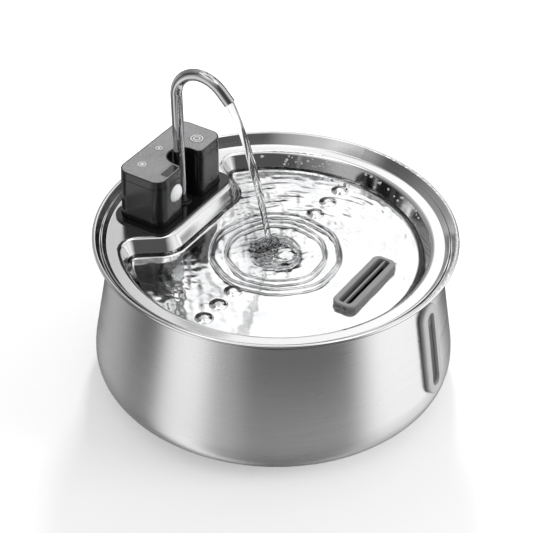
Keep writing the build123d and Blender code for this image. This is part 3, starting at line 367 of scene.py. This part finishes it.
def clear_water(name, ripple_scale, ripple_depth, painted_shade_from=None, see_through=1.0):
    """Clear water with a fine skin of ripples and slow patches of tint. Where its steepness
    attribute passes painted_shade_from, its colour is darkened towards 0.17: painted shade that
    stands in for steep faces turning the light away."""
    material, t, shader = start_finish(name, Roughness=0.0, IOR=1.333,
                                       Transmission_Weight=see_through)
    place = t.place()
    fine = t.noise(place, ripple_scale, 2.0, 0.5)
    patches = t.ease(t.noise(place, 45.0, 3.0, 0.5), 0.35, 0.65)
    tint = t.mix_colour(patches, (0.97, 0.97, 0.97, 1), (0.80, 0.805, 0.81, 1))
    if painted_shade_from:
        # painted shade: the steepness attribute holds slope plus painted shade, and past the
        # threshold the colour falls towards 0.17
        shade_amount = t.node("ShaderNodeAttribute", {"attribute_name": "steepness"}).outputs["Fac"]
        tint = t.mix_colour(t.ease(shade_amount, *painted_shade_from), tint, (0.17, 0.173, 0.177, 1))
    t.put(shader.inputs["Base Color"], tint)
    bump(t, shader, fine, ripple_depth)
    return material


def dressed(material, *nodes):
    """Gives the frame's nodes this finish."""
    for name in nodes:
        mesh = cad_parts[name].data
        mesh.materials.clear()
        mesh.materials.append(material)


def dress_steel():
    """Gives the frame's metal nodes their finishes, and returns the tray's."""
    # painted light: the bowl is only 0.79 metallic at its foot, so its foot reads lighter,
    # standing in for the floor's reflection
    dressed(steel("bowl_steel", (0.78, 0.78, 0.785), 0.30, grain_depth=0.000009, swing=0.24,
                  lines=1.3, stretch=0.75, polish=(0.1105, 0.1125, 0.08),
                  painted_light_foot=(0.03, 0.10, 0.79, 1.0)), "bowl")
    tray_steel = steel("tray_steel", (0.80, 0.80, 0.805), 0.14, grain_depth=0.000003,
                       swing=0.15, lines=1.0, stretch=0.25, polish=(0.1095, 0.1075, 0.075))
    dressed(tray_steel, "tray")
    # painted shade: the spout's steel is 0.53 grey, darker than the bowl's and tray's, standing in
    # for dark reflections along it
    dressed(steel("spout_steel", (0.53, 0.53, 0.54), 0.045, grain_depth=0.000001, swing=0.06,
                  lines=0.8), "spout_tube")
    dressed(steel("small_metal", (0.72, 0.70, 0.66), 0.25, grain_depth=0.000002, swing=0.2,
                  lines=2.0),
            "base_screws", "contact_pads", "contact_pins", "impeller_shaft", "charging_port")
    return tray_steel


def dress_outer_parts():
    """Gives the rubber, the window, the cradle and the module's outside their finishes."""
    frame_rubber = moulded("frame_rubber", (0.43, 0.43, 0.43), 0.55, grains=2.0, depth=0.00003)
    # painted shade on the gasket's sides, behind its front face
    dressed(painted_shade_behind(frame_rubber, "level_gasket"), "level_gasket")
    dressed(moulded("drain_rubber", (0.30, 0.30, 0.30), 0.42, grains=2.0, depth=0.00003),
            "drain_grommet")
    dressed(moulded("seal_rubber", (0.012, 0.012, 0.012), 0.25, grains=2.0),
            "spout_seal", "module_seal")
    smoked_window = moulded("smoked_window", (0.24, 0.245, 0.25), 0.12, grains=1.0,
                            depth=0.000004, Transmission_Weight=0.55, IOR=1.49)
    # painted light on the window above the waterline
    dressed(painted_light_above(smoked_window, 0.0815), "level_window")
    dressed(moulded("cradle_black", (0.010, 0.010, 0.010), 0.14, grains=2.5, depth=0.000004,
                    gloss_swing=0.1), "pump_holder")
    dressed(moulded("case_black", (0.007, 0.007, 0.0075), 0.22, grains=2.5, depth=0.000006,
                    Coat_Weight=0.35, Coat_Roughness=0.05),
            "module_shell", "top_cover", "module_base", "port_cover")
    dressed(satin("plate_satin", (0.30, 0.30, 0.305), (0.85, 0.85, 0.85, 1), (-23.5, 93.9),
                  ((2.6, 0.5), (0.8, 0.9))), "top_plate")
    dressed(satin("power_key_satin", (0.28, 0.28, 0.285), (0.88, 0.88, 0.88, 1),
                  (23.5, 80.505), ((4.2, 0.6), (2.2, 0.6))), "power_button")
    dressed(satin("mode_key_satin", (0.28, 0.28, 0.285), (0.88, 0.88, 0.88, 1),
                  (-1.3, 95.305), ((2.3, 0.5), (0.6, 0.7))), "mode_button")
    dressed(moulded("strip_gloss", (0.02, 0.02, 0.021), 0.08, grains=1.0, depth=0.000002,
                    Coat_Weight=0.5), "status_window")
    dressed(moulded("lens_milk", (0.97, 0.97, 0.97), 0.22, grains=1.5, depth=0.000006,
                    swing=0.06, Subsurface_Weight=0.15, Subsurface_Scale=0.002), "sensor_lens")


def dress_inner_parts():
    """Gives the boards, cells, pump, hose, basket and filters inside their finishes."""
    dressed(moulded("board_green", (0.02, 0.10, 0.05), 0.35, grains=1.0),
            "circuit_board", "sensor_board")
    dressed(moulded("cell_wrap", (0.05, 0.14, 0.32), 0.3, grains=0.6, depth=0.00001),
            "battery_pack")
    dressed(moulded("switch_black", (0.03, 0.03, 0.03), 0.4), "key_switches")
    dressed(moulded("sensor_can", (0.42, 0.42, 0.42), 0.3, Metallic=0.8), "motion_sensor")
    dressed(moulded("pump_black", (0.02, 0.02, 0.022), 0.42), "pump_body", "impeller_cover")
    dressed(moulded("impeller_white", (0.75, 0.75, 0.73), 0.35, swing=0.12), "impeller")
    dressed(moulded("hose_soft", (0.55, 0.56, 0.56), 0.35, swing=0.15,
                    Transmission_Weight=0.3), "riser_hose")
    dressed(moulded("basket_grey", (0.30, 0.30, 0.31), 0.42), "filter_basket", "basket_lid")
    dressed(moulded("filter_foam", (0.06, 0.06, 0.065), 0.9, grains=1.2, depth=0.0006,
                    swing=1.6), "foam_filter")
    dressed(moulded("filter_carbon", (0.72, 0.72, 0.70), 0.85, grains=1.6, depth=0.0003,
                    swing=0.5), "carbon_filter")


# ---------------------------------------------------------------- meshes from arrays
def facing_out(points, faces):
    """The faces, turned over if the closed skin's volume, a sum of corner products over fans,
    comes out negative."""
    volume = 0.0
    for block in faces:
        corner = points[block]
        for k in range(1, block.shape[1] - 1):
            turned = np.cross(corner[:, k], corner[:, k + 1])
            volume += np.einsum("ij,ij->", corner[:, 0], turned)
    return faces if volume > 0 else [block[:, ::-1] for block in faces]


def mesh_piece(name, points, faces, material, body, **point_values):
    """A smooth piece at the origin from an array of points and arrays of faces, riding on a body.

    Each named array of point values becomes an attribute that the finish can read."""
    mesh = bpy.data.meshes.new(name)
    rows = [row for block in facing_out(points, faces) for row in block.tolist()]
    mesh.from_pydata(points.tolist(), [], rows)
    mesh.polygons.foreach_set("use_smooth", np.ones(len(mesh.polygons), bool))
    for label, values in point_values.items():
        attribute = mesh.attributes.new(label, "FLOAT", "POINT")
        attribute.data.foreach_set("value", values.astype(np.float32))
    mesh.materials.append(material)
    mesh.validate()
    mesh.update()
    piece = bpy.data.objects.new(name, mesh)
    bpy.context.scene.collection.objects.link(piece)
    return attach(piece, body)


def wrapped_quads(n, m, ends_meet=False):
    """Quads that join ring i to ring i + 1 among n rings of m points and wrap round each ring.
    Where the ends meet, the last ring joins the first."""
    i, j = np.meshgrid(np.arange(n if ends_meet else n - 1), np.arange(m), indexing="ij")
    above, beside = (i + 1) % n, (j + 1) % m
    corners = [i * m + j, i * m + beside, above * m + beside, above * m + j]
    return np.stack(corners, -1).reshape(-1, 4)


def closed_rings(rings):
    """Points and faces of a closed skin through rings (n, m, 3), each end closed by a fan to
    the mean of its ring."""
    n, m, _ = rings.shape
    points = np.concatenate([rings.reshape(-1, 3), rings[:1].mean(1), rings[-1:].mean(1)])
    a = np.arange(m)
    b = (a + 1) % m
    first = np.stack([b, a, np.full(m, n * m)], -1)
    last = np.stack([(n - 1) * m + a, (n - 1) * m + b, np.full(m, n * m + 1)], -1)
    return points, [wrapped_quads(n, m), first, last]


def copied(points, faces, centres, sizes=1.0):
    """Points and faces of one small closed skin copied to each centre, times its size."""
    placed = centres[:, None, :] + sizes * points[None]
    step = (np.arange(len(centres)) * len(points))[:, None, None]
    blocks = [(face[None] + step).reshape(-1, face.shape[1]) for face in faces]
    return placed.reshape(-1, 3), blocks


def evenly_round(count):
    """Angles of evenly spaced points round a ring."""
    return np.arange(count) * 2 * np.pi / count


# ---------------------------------------------------------------- places in the basin, in mm
WATERLINE = 100.7
FLOOR = 97.0
UNDERSIDE = 96.6
LANDING = np.array([0.0, 6.0])
RING_MIDDLE = np.array([-1.9, -1.6])
TONGUE = np.array([-0.5, -7.5])
TONGUE_REACH = 6.5
# the rings of ripples: radius, rise, width and the turn of their unevenness
RINGS = ((16, 1.0, 2.1, 0.0), (34, 0.62, 0.95, 1.0), (44, 0.75, 1.05, 2.0))


def pool_outline():
    """The pool's edge at the waterline, halfway into the steel: arcs and lines joined end to end.

    The right half runs from the front of the circle round to the lobe, down the slanted side and
    round its foot to the shelf's straight front; the left half is its mirror."""
    lobe_starts, lobe_ends, foot_starts = 48.52, 142, -38
    foot_x, foot_y, foot_radius = 30.996, 76.705, 20.6

    def arc(x, y, radius, start, stop, count):
        a = np.radians(np.linspace(start, stop, count))
        return np.stack([x + radius * np.cos(a), y + radius * np.sin(a)], -1)

    wall = arc(0, 0, 102.0, -90, lobe_starts, 160)
    lobe = arc(62.323, 70.51, 7.9, lobe_starts, lobe_ends, 24)
    foot = arc(foot_x, foot_y, foot_radius, foot_starts, -90, 24)
    front_x = np.linspace(foot_x, 0, 20)[1:]
    front = np.stack([front_x, np.full(len(front_x), foot_y - foot_radius)], -1)
    right = np.concatenate([wall, lobe, foot, front])
    left = right[::-1][1:-1] * (-1, 1)
    return np.concatenate([right, left])


def spaced_evenly(line, count):
    """A closed line of points sampled again at even steps of its own length."""
    closed = np.concatenate([line, line[:1]])
    run = np.concatenate([[0], np.cumsum(np.linalg.norm(np.diff(closed, axis=0), axis=1))])
    at = np.arange(count) * run[-1] / count
    return np.stack([np.interp(at, run, closed[:, 0]), np.interp(at, run, closed[:, 1])], -1)


def drain_mask(x, y):
    """One over the drain's opening and nought off it, turning over inside the grommet's rim."""
    middle_y, half_length, half_width = -70.505, 28.0, 4.7
    off = np.maximum(np.abs(x) - half_length, np.abs(y - middle_y) - half_width)
    return np.clip(1 - (off - 0.7) / 1.3, 0, 1)


# ---------------------------------------------------------------- ripples
def bell(x, y, middle, reach):
    """One at a middle, falling off round it over a reach in mm."""
    return np.exp(-((x - middle[0]) ** 2 + (y - middle[1]) ** 2) / reach ** 2)


def within(r, reach, sharpness):
    """One at no distance and nought past a reach, over a shoulder of this sharpness."""
    return np.exp(-((r / reach) ** sharpness))


def waves(x, y, rng, count, shortest, longest, steepness):
    """A sum of plane waves of seeded directions and lengths; each is as high as its length times
    the steepness."""
    heading = rng.uniform(0, 2 * np.pi, count)
    length = rng.uniform(shortest, longest, count)
    phase = rng.uniform(0, 2 * np.pi, count)
    size = steepness * length * rng.uniform(0.5, 1.0, count)
    run = (x[..., None] * np.cos(heading) + y[..., None] * np.sin(heading)) / length
    return (size * np.sin(2 * np.pi * run + phase)).sum(-1)


def ripple_height(x, y):
    """Height of the pool over its level, in mm: a churned dip at the landing, three thin uneven
    rings round it, a train of long rings that is strongest on the far side from the lens, and
    small seeded waves with a patch of stronger ones at the left. A flat tongue of smooth water
    runs out of the dip."""
    rng = np.random.default_rng(11)
    dx, dy = x - RING_MIDDLE[0], y - RING_MIDDLE[1]
    r, angle = np.hypot(dx, dy), np.arctan2(dy, dx)
    bend = (0.7 * np.sin(3 * angle + 0.6) + 0.6 * np.sin(5 * angle - 1.1)
            + 0.5 * np.sin(9 * angle))
    smooth = 1 - 0.97 * bell(x, y, TONGUE, TONGUE_REACH)
    h = -1.3 * within(r, 9, 2) * smooth
    for radius, rise, width, turned in RINGS:
        uneven = 0.8 + 0.2 * np.sin(2 * angle + turned) + 0.12 * np.sin(7 * angle + turned)
        h = h + rise * uneven * within(r - radius - bend * radius / 55, width, 2) * smooth
    far = 0.5 + 0.5 * np.cos(angle - math.radians(AWAY))
    train = np.sin(2 * np.pi * (r + 3.4 * bend + 1.6 * np.sin(angle * 17 + r / 4)) / 7.6)
    broken = 0.65 + 0.35 * np.sin(angle * 11 + r / 3.1)
    h = h + (0.03 + 0.21 * far ** 1.5) * broken * train * (1 - within(r, 46, 6))
    h = h + 0.03 * np.sin(2 * np.pi * (r + bend) / 4.6) * within(r, 34, 4)
    churned = waves(x, y, rng, 26, 4.0, 8.0, 0.012) * within(r, 17, 4) * smooth
    spreading = waves(x, y, rng, 24, 5.0, 9.0, 0.006) * within(r, 30, 6) * smooth
    pebbled = waves(x, y, rng, 30, 6.0, 11, 0.0095) * bell(x, y, (-74, 24), 30)
    everywhere = waves(x, y, rng, 44, 5.0, 12, 0.0045) * (0.30 + 0.5 * far ** 2)
    return h + churned + spreading + pebbled + everywhere


def ripple_shade_amount(x, y):
    """Painted shade for the pool's colour: the slope of its surface, as the length of its gradient
    over a tenth of a millimetre, with painted shade added on the dip's churned side, on the crests
    of the rings and on the far ripples, and some taken off on pebbled water."""
    step = 0.1
    here = ripple_height(x, y)
    slope = np.hypot(ripple_height(x + step, y) - here, ripple_height(x, y + step) - here) / step
    r = np.hypot(x - RING_MIDDLE[0], y - RING_MIDDLE[1])
    crests = sum(within(r - radius, 1.5, 2) for radius, *_ in RINGS)
    churned = bell(x, y, LANDING + (0, 2), 20) * (1 - bell(x, y, TONGUE, TONGUE_REACH))
    pebbled, far = bell(x, y, (-76, 22), 34), bell(x, y, (30, 66), 46)
    # painted shade added at the dip, on the ring crests and at the far side, and less on pebbled
    # water
    return slope * (1 - 0.35 * pebbled) + 0.24 * churned + 0.10 * crests + 0.12 * far


# ---------------------------------------------------------------- water
def make_pool(material):
    """The pool: rays from a middle point to the outline, with more rings near the landing than
    near the edge.

    The top is the rippled level, the underside lies inside the steel, and inside the drain's
    opening the two share their points and have no faces, so the water stops at the grommet's
    rim."""
    rays, near_rings, far_rings = 380, 80, 46
    calm_edge, tucked_in, tuck_reach = 4, 2.8, 3
    middle = RING_MIDDLE
    outline = spaced_evenly(pool_outline(), rays)
    near, far = np.linspace(0, 0.5, near_rings)[1:], np.linspace(0.5, 1, far_rings)[1:]
    plan = middle + np.concatenate([near, far])[:, None, None] * (outline - middle)
    x, y = plan[..., 0], plan[..., 1]
    edge = np.linalg.norm(outline - plan, axis=-1)
    hole = drain_mask(x, y)
    free = 1 - within(edge, calm_edge, 2)
    level = WATERLINE + ripple_height(x, y) * free
    top = np.stack([x, y, level * (1 - hole) + UNDERSIDE * hole], -1)
    inward = (middle - outline) / np.linalg.norm(middle - outline, axis=1)[:, None]
    under = plan + inward * (tucked_in * np.exp(-edge / tuck_reach))[..., None]
    under = np.concatenate([under, np.full(under.shape[:2] + (1,), UNDERSIDE)], -1)
    n, m = x.shape
    middles = np.array([[*middle, WATERLINE], [*middle, UNDERSIDE]])
    points = np.concatenate([top.reshape(-1, 3), under.reshape(-1, 3), middles])
    upper = np.arange(n * m).reshape(n, m)
    shared = hole >= 1
    lower = np.where(shared, upper, upper + n * m)

    def sheet(ids):
        beside = np.roll(ids, -1, 1)
        return np.stack([ids[:-1], ids[1:], beside[1:], beside[:-1]], -1).reshape(-1, 4)

    gone = shared.ravel()[sheet(upper)].all(1)
    side = np.stack([upper[-1], lower[-1], np.roll(lower[-1], -1), np.roll(upper[-1], -1)], -1)
    quads = np.concatenate([sheet(upper)[~gone], sheet(lower)[~gone][:, ::-1], side])
    fan = np.full(m, 2 * n * m)
    fans = np.concatenate([np.stack([fan, upper[0], np.roll(upper[0], -1)], -1),
                           np.stack([fan + 1, np.roll(lower[0], -1), lower[0]], -1)])
    corners = np.concatenate([quads.ravel(), fans.ravel()])
    used, packed = np.unique(corners, return_inverse=True)
    faces = [packed[:quads.size].reshape(-1, 4), packed[quads.size:].reshape(-1, 3)]
    # painted shade amount for the pool's colour, stored as its steepness attribute
    shade_amount = ripple_shade_amount(x, y) * free * (hole <= 0)
    shade_amount = np.concatenate([shade_amount.ravel(), np.zeros(n * m + 2)])[used]
    return mesh_piece("basin_water", points[used] * MM, faces, material, "tray",
                      steepness=shade_amount)


def make_jet(material):
    """The jet: a ring carried down the path of water in free fall,
    y = mouth - slope * (sqrt(1 + 2 d / k) - 1) * k for a drop d, thinning as it speeds up, with
    two and three turning lobes and a slow swell along it, and flared where it lands."""
    mouth_y, mouth_z, slope, k = 37.3, 203.6, 0.655, 25.0
    inside_mouth, foot_z, fall = 1.2, 99.4, 104
    drop = np.linspace(-inside_mouth, mouth_z - foot_z, 190)
    run = np.sqrt(np.maximum(1 + 2 * drop / k, 0.1)) - 1
    path = np.stack([np.zeros_like(drop), mouth_y - slope * k * run, mouth_z - drop], -1)
    heading = np.gradient(path, axis=0)
    heading /= np.linalg.norm(heading, axis=1)[:, None]
    side = np.array([1.0, 0, 0])
    front = np.cross(heading, side)
    along = np.clip(drop / fall, 0, 1)[:, None]
    turn = evenly_round(56)[None, :]
    radius = 2.95 - 0.80 * along ** 0.6 + 0.16 * np.sin(along * 30 + 1) * along
    lobes = (1 + 0.10 * np.cos(2 * turn + 9 * along)
             + 0.09 * along * np.cos(3 * turn - 16 * along + 1))
    flare = 1 + 0.9 * np.clip((along - 0.955) / 0.045, 0, 1) ** 2
    radius = radius * lobes * flare
    ring = (path[:, None, :] + radius[..., None] * (np.cos(turn)[..., None] * side
            + np.sin(turn)[..., None] * front[:, None, :]))
    points, faces = closed_rings(ring[:, ::-1] * MM)
    return mesh_piece("spout_jet", points, faces, material, "spout")


def make_splash(material):
    """The crown of water round the jet's foot: a closed ring whose lip rises and falls in uneven
    tongues. Its section is a circle pulled up and out by the tongue's rise."""
    turn = evenly_round(160)[None, :]
    section = evenly_round(20)[:, None]
    across, up = np.cos(section), np.sin(section)
    rise = (1.5 + 0.9 * np.cos(2 * turn + 0.4) + 0.7 * np.cos(5 * turn + 2)
            + 0.35 * np.cos(11 * turn))
    rise = np.maximum(rise, 0.25)
    reach = 6.4 + 1.0 * np.cos(3 * turn + 1) + 0.5 * np.cos(7 * turn)
    lean = across * (0.75 + 0.25 * up)
    r = reach + 1.1 * lean + 0.9 * np.maximum(up, 0) * rise * 0.5
    z = WATERLINE - 0.5 + up * np.where(up > 0, rise + 0.6, 0.7)
    x = LANDING[0] + r * np.cos(turn)
    y = LANDING[1] + r * np.sin(turn)
    rings = np.stack([x, y, np.broadcast_to(z, x.shape)], -1) * MM
    quads = wrapped_quads(*x.shape, ends_meet=True)[:, ::-1]
    return mesh_piece("splash_crown", rings.reshape(-1, 3), [quads], material, "spout")


def make_drops(material):
    """Drops thrown on the basin's leaning wall behind the landing, half sunk into the face they
    cling to: balls flattened in height, 12 by 8 faces each."""
    rng = np.random.default_rng(9)
    count, flattened = 46, 0.8
    wall_foot, wall_lean = 101.7, math.radians(28.0)
    height = rng.uniform(102.0, 107.6, count)
    turn = np.radians(rng.uniform(-42, 46, count))
    wall = wall_foot + (height - WATERLINE) * math.tan(wall_lean)
    centres = np.stack([wall * np.cos(turn), wall * np.sin(turn), height], -1)
    radii = rng.uniform(0.45, 1.25, count)
    down = np.linspace(0, np.pi, 9)[1:-1][:, None]
    about = evenly_round(12)
    ball = np.stack([np.sin(down) * np.cos(about), np.sin(down) * np.sin(about),
                     flattened * (np.cos(down) * np.ones(12))], -1)
    points, faces = closed_rings(ball[:, ::-1])
    points[-2:] = (0, 0, flattened), (0, 0, -flattened)
    points, blocks = copied(points, faces, centres, radii[:, None, None])
    return mesh_piece("wall_drops", points * MM, blocks, material, "tray")


# ---------------------------------------------------------------- studs
def make_studs(material):
    """Six round studs pressed up from the basin's floor, three a side: height 3 s^2 - 2 s^3 for
    a share s that runs from nought at the stud's edge to one at its flat crown, over a base that
    lies inside the sheet."""
    radius, crown_radius, rise, rows, turns = 6.4, 2.3, 1.3, 16, 40
    out = np.linspace(radius, 0, rows, endpoint=False)[:, None]
    share = np.clip((radius - out) / (radius - crown_radius), 0, 1)
    turn = evenly_round(turns)
    height = FLOOR + rise * (3 * share ** 2 - 2 * share ** 3)
    crown = np.stack([out * np.cos(turn), out * np.sin(turn), height * np.ones(turns)], -1)
    base = crown[:1] * (0.97, 0.97, 1) - (0, 0, 0.25)
    points, faces = closed_rings(np.concatenate([base, crown]))
    centres = np.array([(side * x, 0, 0) for side in (-1, 1) for x in (53.5, 70.7, 87.7)])
    points, blocks = copied(points, faces, centres)
    return mesh_piece("floor_studs", points * MM, blocks, material, "tray")


# ---------------------------------------------------------------- studio
def make_floor():
    """A wide pale floor that keeps the object's shadow and reads as white to the camera."""
    size = 6.0
    corners = [(-size, -size, 0), (size, -size, 0), (size, size, 0), (-size, size, 0)]
    mesh = bpy.data.meshes.new("studio_floor")
    mesh.from_pydata(corners, [], [(0, 1, 2, 3)])
    floor = bpy.data.objects.new("studio_floor", mesh)
    bpy.context.scene.collection.objects.link(floor)
    material, t, shader = start_finish("studio_floor", Roughness=0.9, Specular_IOR_Level=0.0,
                                       Base_Color=(0.90, 0.90, 0.90, 1),
                                       Emission_Color=(1, 1, 1, 1))
    seen = t.node("ShaderNodeLightPath").outputs["Is Camera Ray"]
    t.put(shader.inputs["Emission Strength"], t.times(seen, 0.22))
    mesh.materials.append(material)
    floor.visible_glossy = False


def make_room():
    """The room: plain white to the camera and even light for matt surfaces. Metal and glass see
    a studio of white panels behind and to both sides, with a dark gap on the near side, glazing
    bars across the panel behind and a bright strip near the top. It is brighter to rays that
    pass through water or a window."""
    plain, brightest, even_light, through_water = 0.21, 1.4, 0.70, 0.28
    # azimuth, inner and outer half width in degrees, and level
    upright = ((156, 0, 24, 0.50), (165, 4, 36, 0.36), (305, 12, 49, 1.42), (66, 10, 56, 0.46))
    # the same, and the height of the middle in degrees
    tilted = ((272, 8, 26, 0.36, 18), (95, 12, 38, 0.05, 38), (180, 8, 28, 0.40, 50),
              (332, 12, 38, 0.35, 42))
    world = bpy.data.worlds.new("white_room")
    bpy.context.scene.world = world
    world.use_nodes = True
    world.node_tree.nodes.clear()
    t = Tree(world.node_tree)
    way = t.node("ShaderNodeTexCoord").outputs["Generated"]
    x, y, z = t.parts(way)
    flat = t.vector("NORMALIZE", t.join(x, y, 0.0))

    def panel(azimuth, inner, outer, level, tilt=None):
        """Level inside inner degrees of the azimuth, or of the point at a tilt over it, fading
        to nothing at outer."""
        a = math.radians(azimuth)
        if tilt is None:
            near = t.vector("DOT_PRODUCT", flat, (math.cos(a), math.sin(a), 0))
        else:
            e = math.radians(tilt)
            middle = (math.cos(a) * math.cos(e), math.sin(a) * math.cos(e), math.sin(e))
            near = t.vector("DOT_PRODUCT", t.vector("NORMALIZE", way), middle)
        dark, full = math.cos(math.radians(outer)), math.cos(math.radians(inner))
        return t.ease(near, dark, full, 0.0, level)

    walls = plain
    for place in upright:
        walls = t.add(walls, panel(*place))
    over_floor = t.ease(z, -0.62, -0.42)
    walls = t.times(walls, t.ease(over_floor, 0.0, 1.0, 0.30, 1.0))
    walls = t.times(walls, t.ease(z, -0.05, 0.22, 1.0, 0.45))
    shade_behind = t.times(panel(AWAY, 24, 46, 0.96), t.ease(z, -0.10, 0.06, 1.0, 0.0))
    walls = t.times(walls, t.minus(1.0, shade_behind))
    walls = t.add(walls, t.times(panel(150, 0, 22, 0.95), t.minus(1.0, over_floor)))
    for place in tilted:
        walls = t.add(walls, panel(*place))

    def off_bar(along, at, half):
        """Nought within half of a place along a direction, one away from it."""
        return t.ease(t.math("ABSOLUTE", t.minus(along, at)), half * 0.6, half)

    away = math.radians(AWAY)
    left = t.vector("DOT_PRODUCT", way, (-math.sin(away), math.cos(away), 0))
    aside = t.math("ABSOLUTE", left)
    upright_bars = t.times(off_bar(aside, 0.16, 0.04), off_bar(aside, 0.42, 0.06))
    level_bars = t.times(off_bar(z, 0.42, 0.045), off_bar(z, 0.74, 0.04))
    panes = t.times(upright_bars, level_bars)
    behind = t.times(panel(26, 17, 33, 0.88, 38), t.add(0.1, t.times(panes, 0.9)))
    dimmer_left = t.add(t.ease(left, 0.02, 0.10, 1.0, 0.36), t.ease(left, -0.09, -0.03, 0.30, 0.0))
    behind = t.times(behind, dimmer_left)
    top = panel(AWAY, 20, 60, 0.14, 80)
    studio = t.math("MINIMUM", t.add(t.add(walls, behind), top), brightest)
    strip = t.times(t.ease(z, 0.87, 0.90), t.ease(z, 0.95, 0.98, 1.0, 0.0))
    studio = t.add(studio, t.times(strip, 1.2))
    path = t.node("ShaderNodeLightPath").outputs
    seen, bent = path["Is Camera Ray"], path["Is Transmission Ray"]
    mirrored = t.math("MAXIMUM", path["Is Glossy Ray"], bent)
    studio = t.times(studio, t.add(1.0, t.times(bent, through_water)))
    level = t.add(t.times(mirrored, studio), t.times(t.minus(1.0, mirrored), even_light))
    level = t.add(seen, t.times(t.minus(1.0, seen), level))
    back = t.node("ShaderNodeBackground", Color=(1, 1, 1, 1), Strength=level)
    t.put(t.node("ShaderNodeOutputWorld").inputs["Surface"], back.outputs[0])


def make_lamp(name, azimuth, elevation, distance, size, watts):
    """A square soft lamp that looks at the object from an azimuth and elevation in degrees."""
    a, e = math.radians(azimuth), math.radians(elevation)
    way = Vector((math.cos(a) * math.cos(e), math.sin(a) * math.cos(e), math.sin(e)))
    aim = Vector((0, 0, 0.08))
    data = bpy.data.lights.new(name, "AREA")
    data.size = size
    data.energy = watts
    lamp = bpy.data.objects.new(name, data)
    lamp.location = way * distance + aim
    lamp.rotation_euler = (-way).to_track_quat("-Z", "Y").to_euler()
    lamp.visible_glossy = False
    lamp.visible_transmission = False
    bpy.context.scene.collection.objects.link(lamp)


place_camera()
tray_steel = dress_steel()
dress_outer_parts()
dress_inner_parts()
make_studs(tray_steel)
# the pool water's colour carries painted shade on its ripples
pool_water = clear_water("pool_water", 260.0, 0.00003, painted_shade_from=(0.05, 0.50))
jet_water = clear_water("jet_water", 180.0, 0.00003)
# painted highlight: the drops are only 0.30 see-through, so their pale colour reads as bright
# glints
drop_water = clear_water("clinging_drops", 300.0, 0.00002, see_through=0.30)
make_pool(pool_water)
make_jet(jet_water)
make_splash(jet_water)
make_drops(drop_water)
make_floor()
make_room()
make_lamp("back_lamp", azimuth=30, elevation=38, distance=1.15, size=0.16, watts=5.2)
make_lamp("side_lamp", azimuth=290, elevation=16, distance=1.5, size=0.8, watts=9.5)
bpy.context.scene.view_settings.view_transform = "Standard"
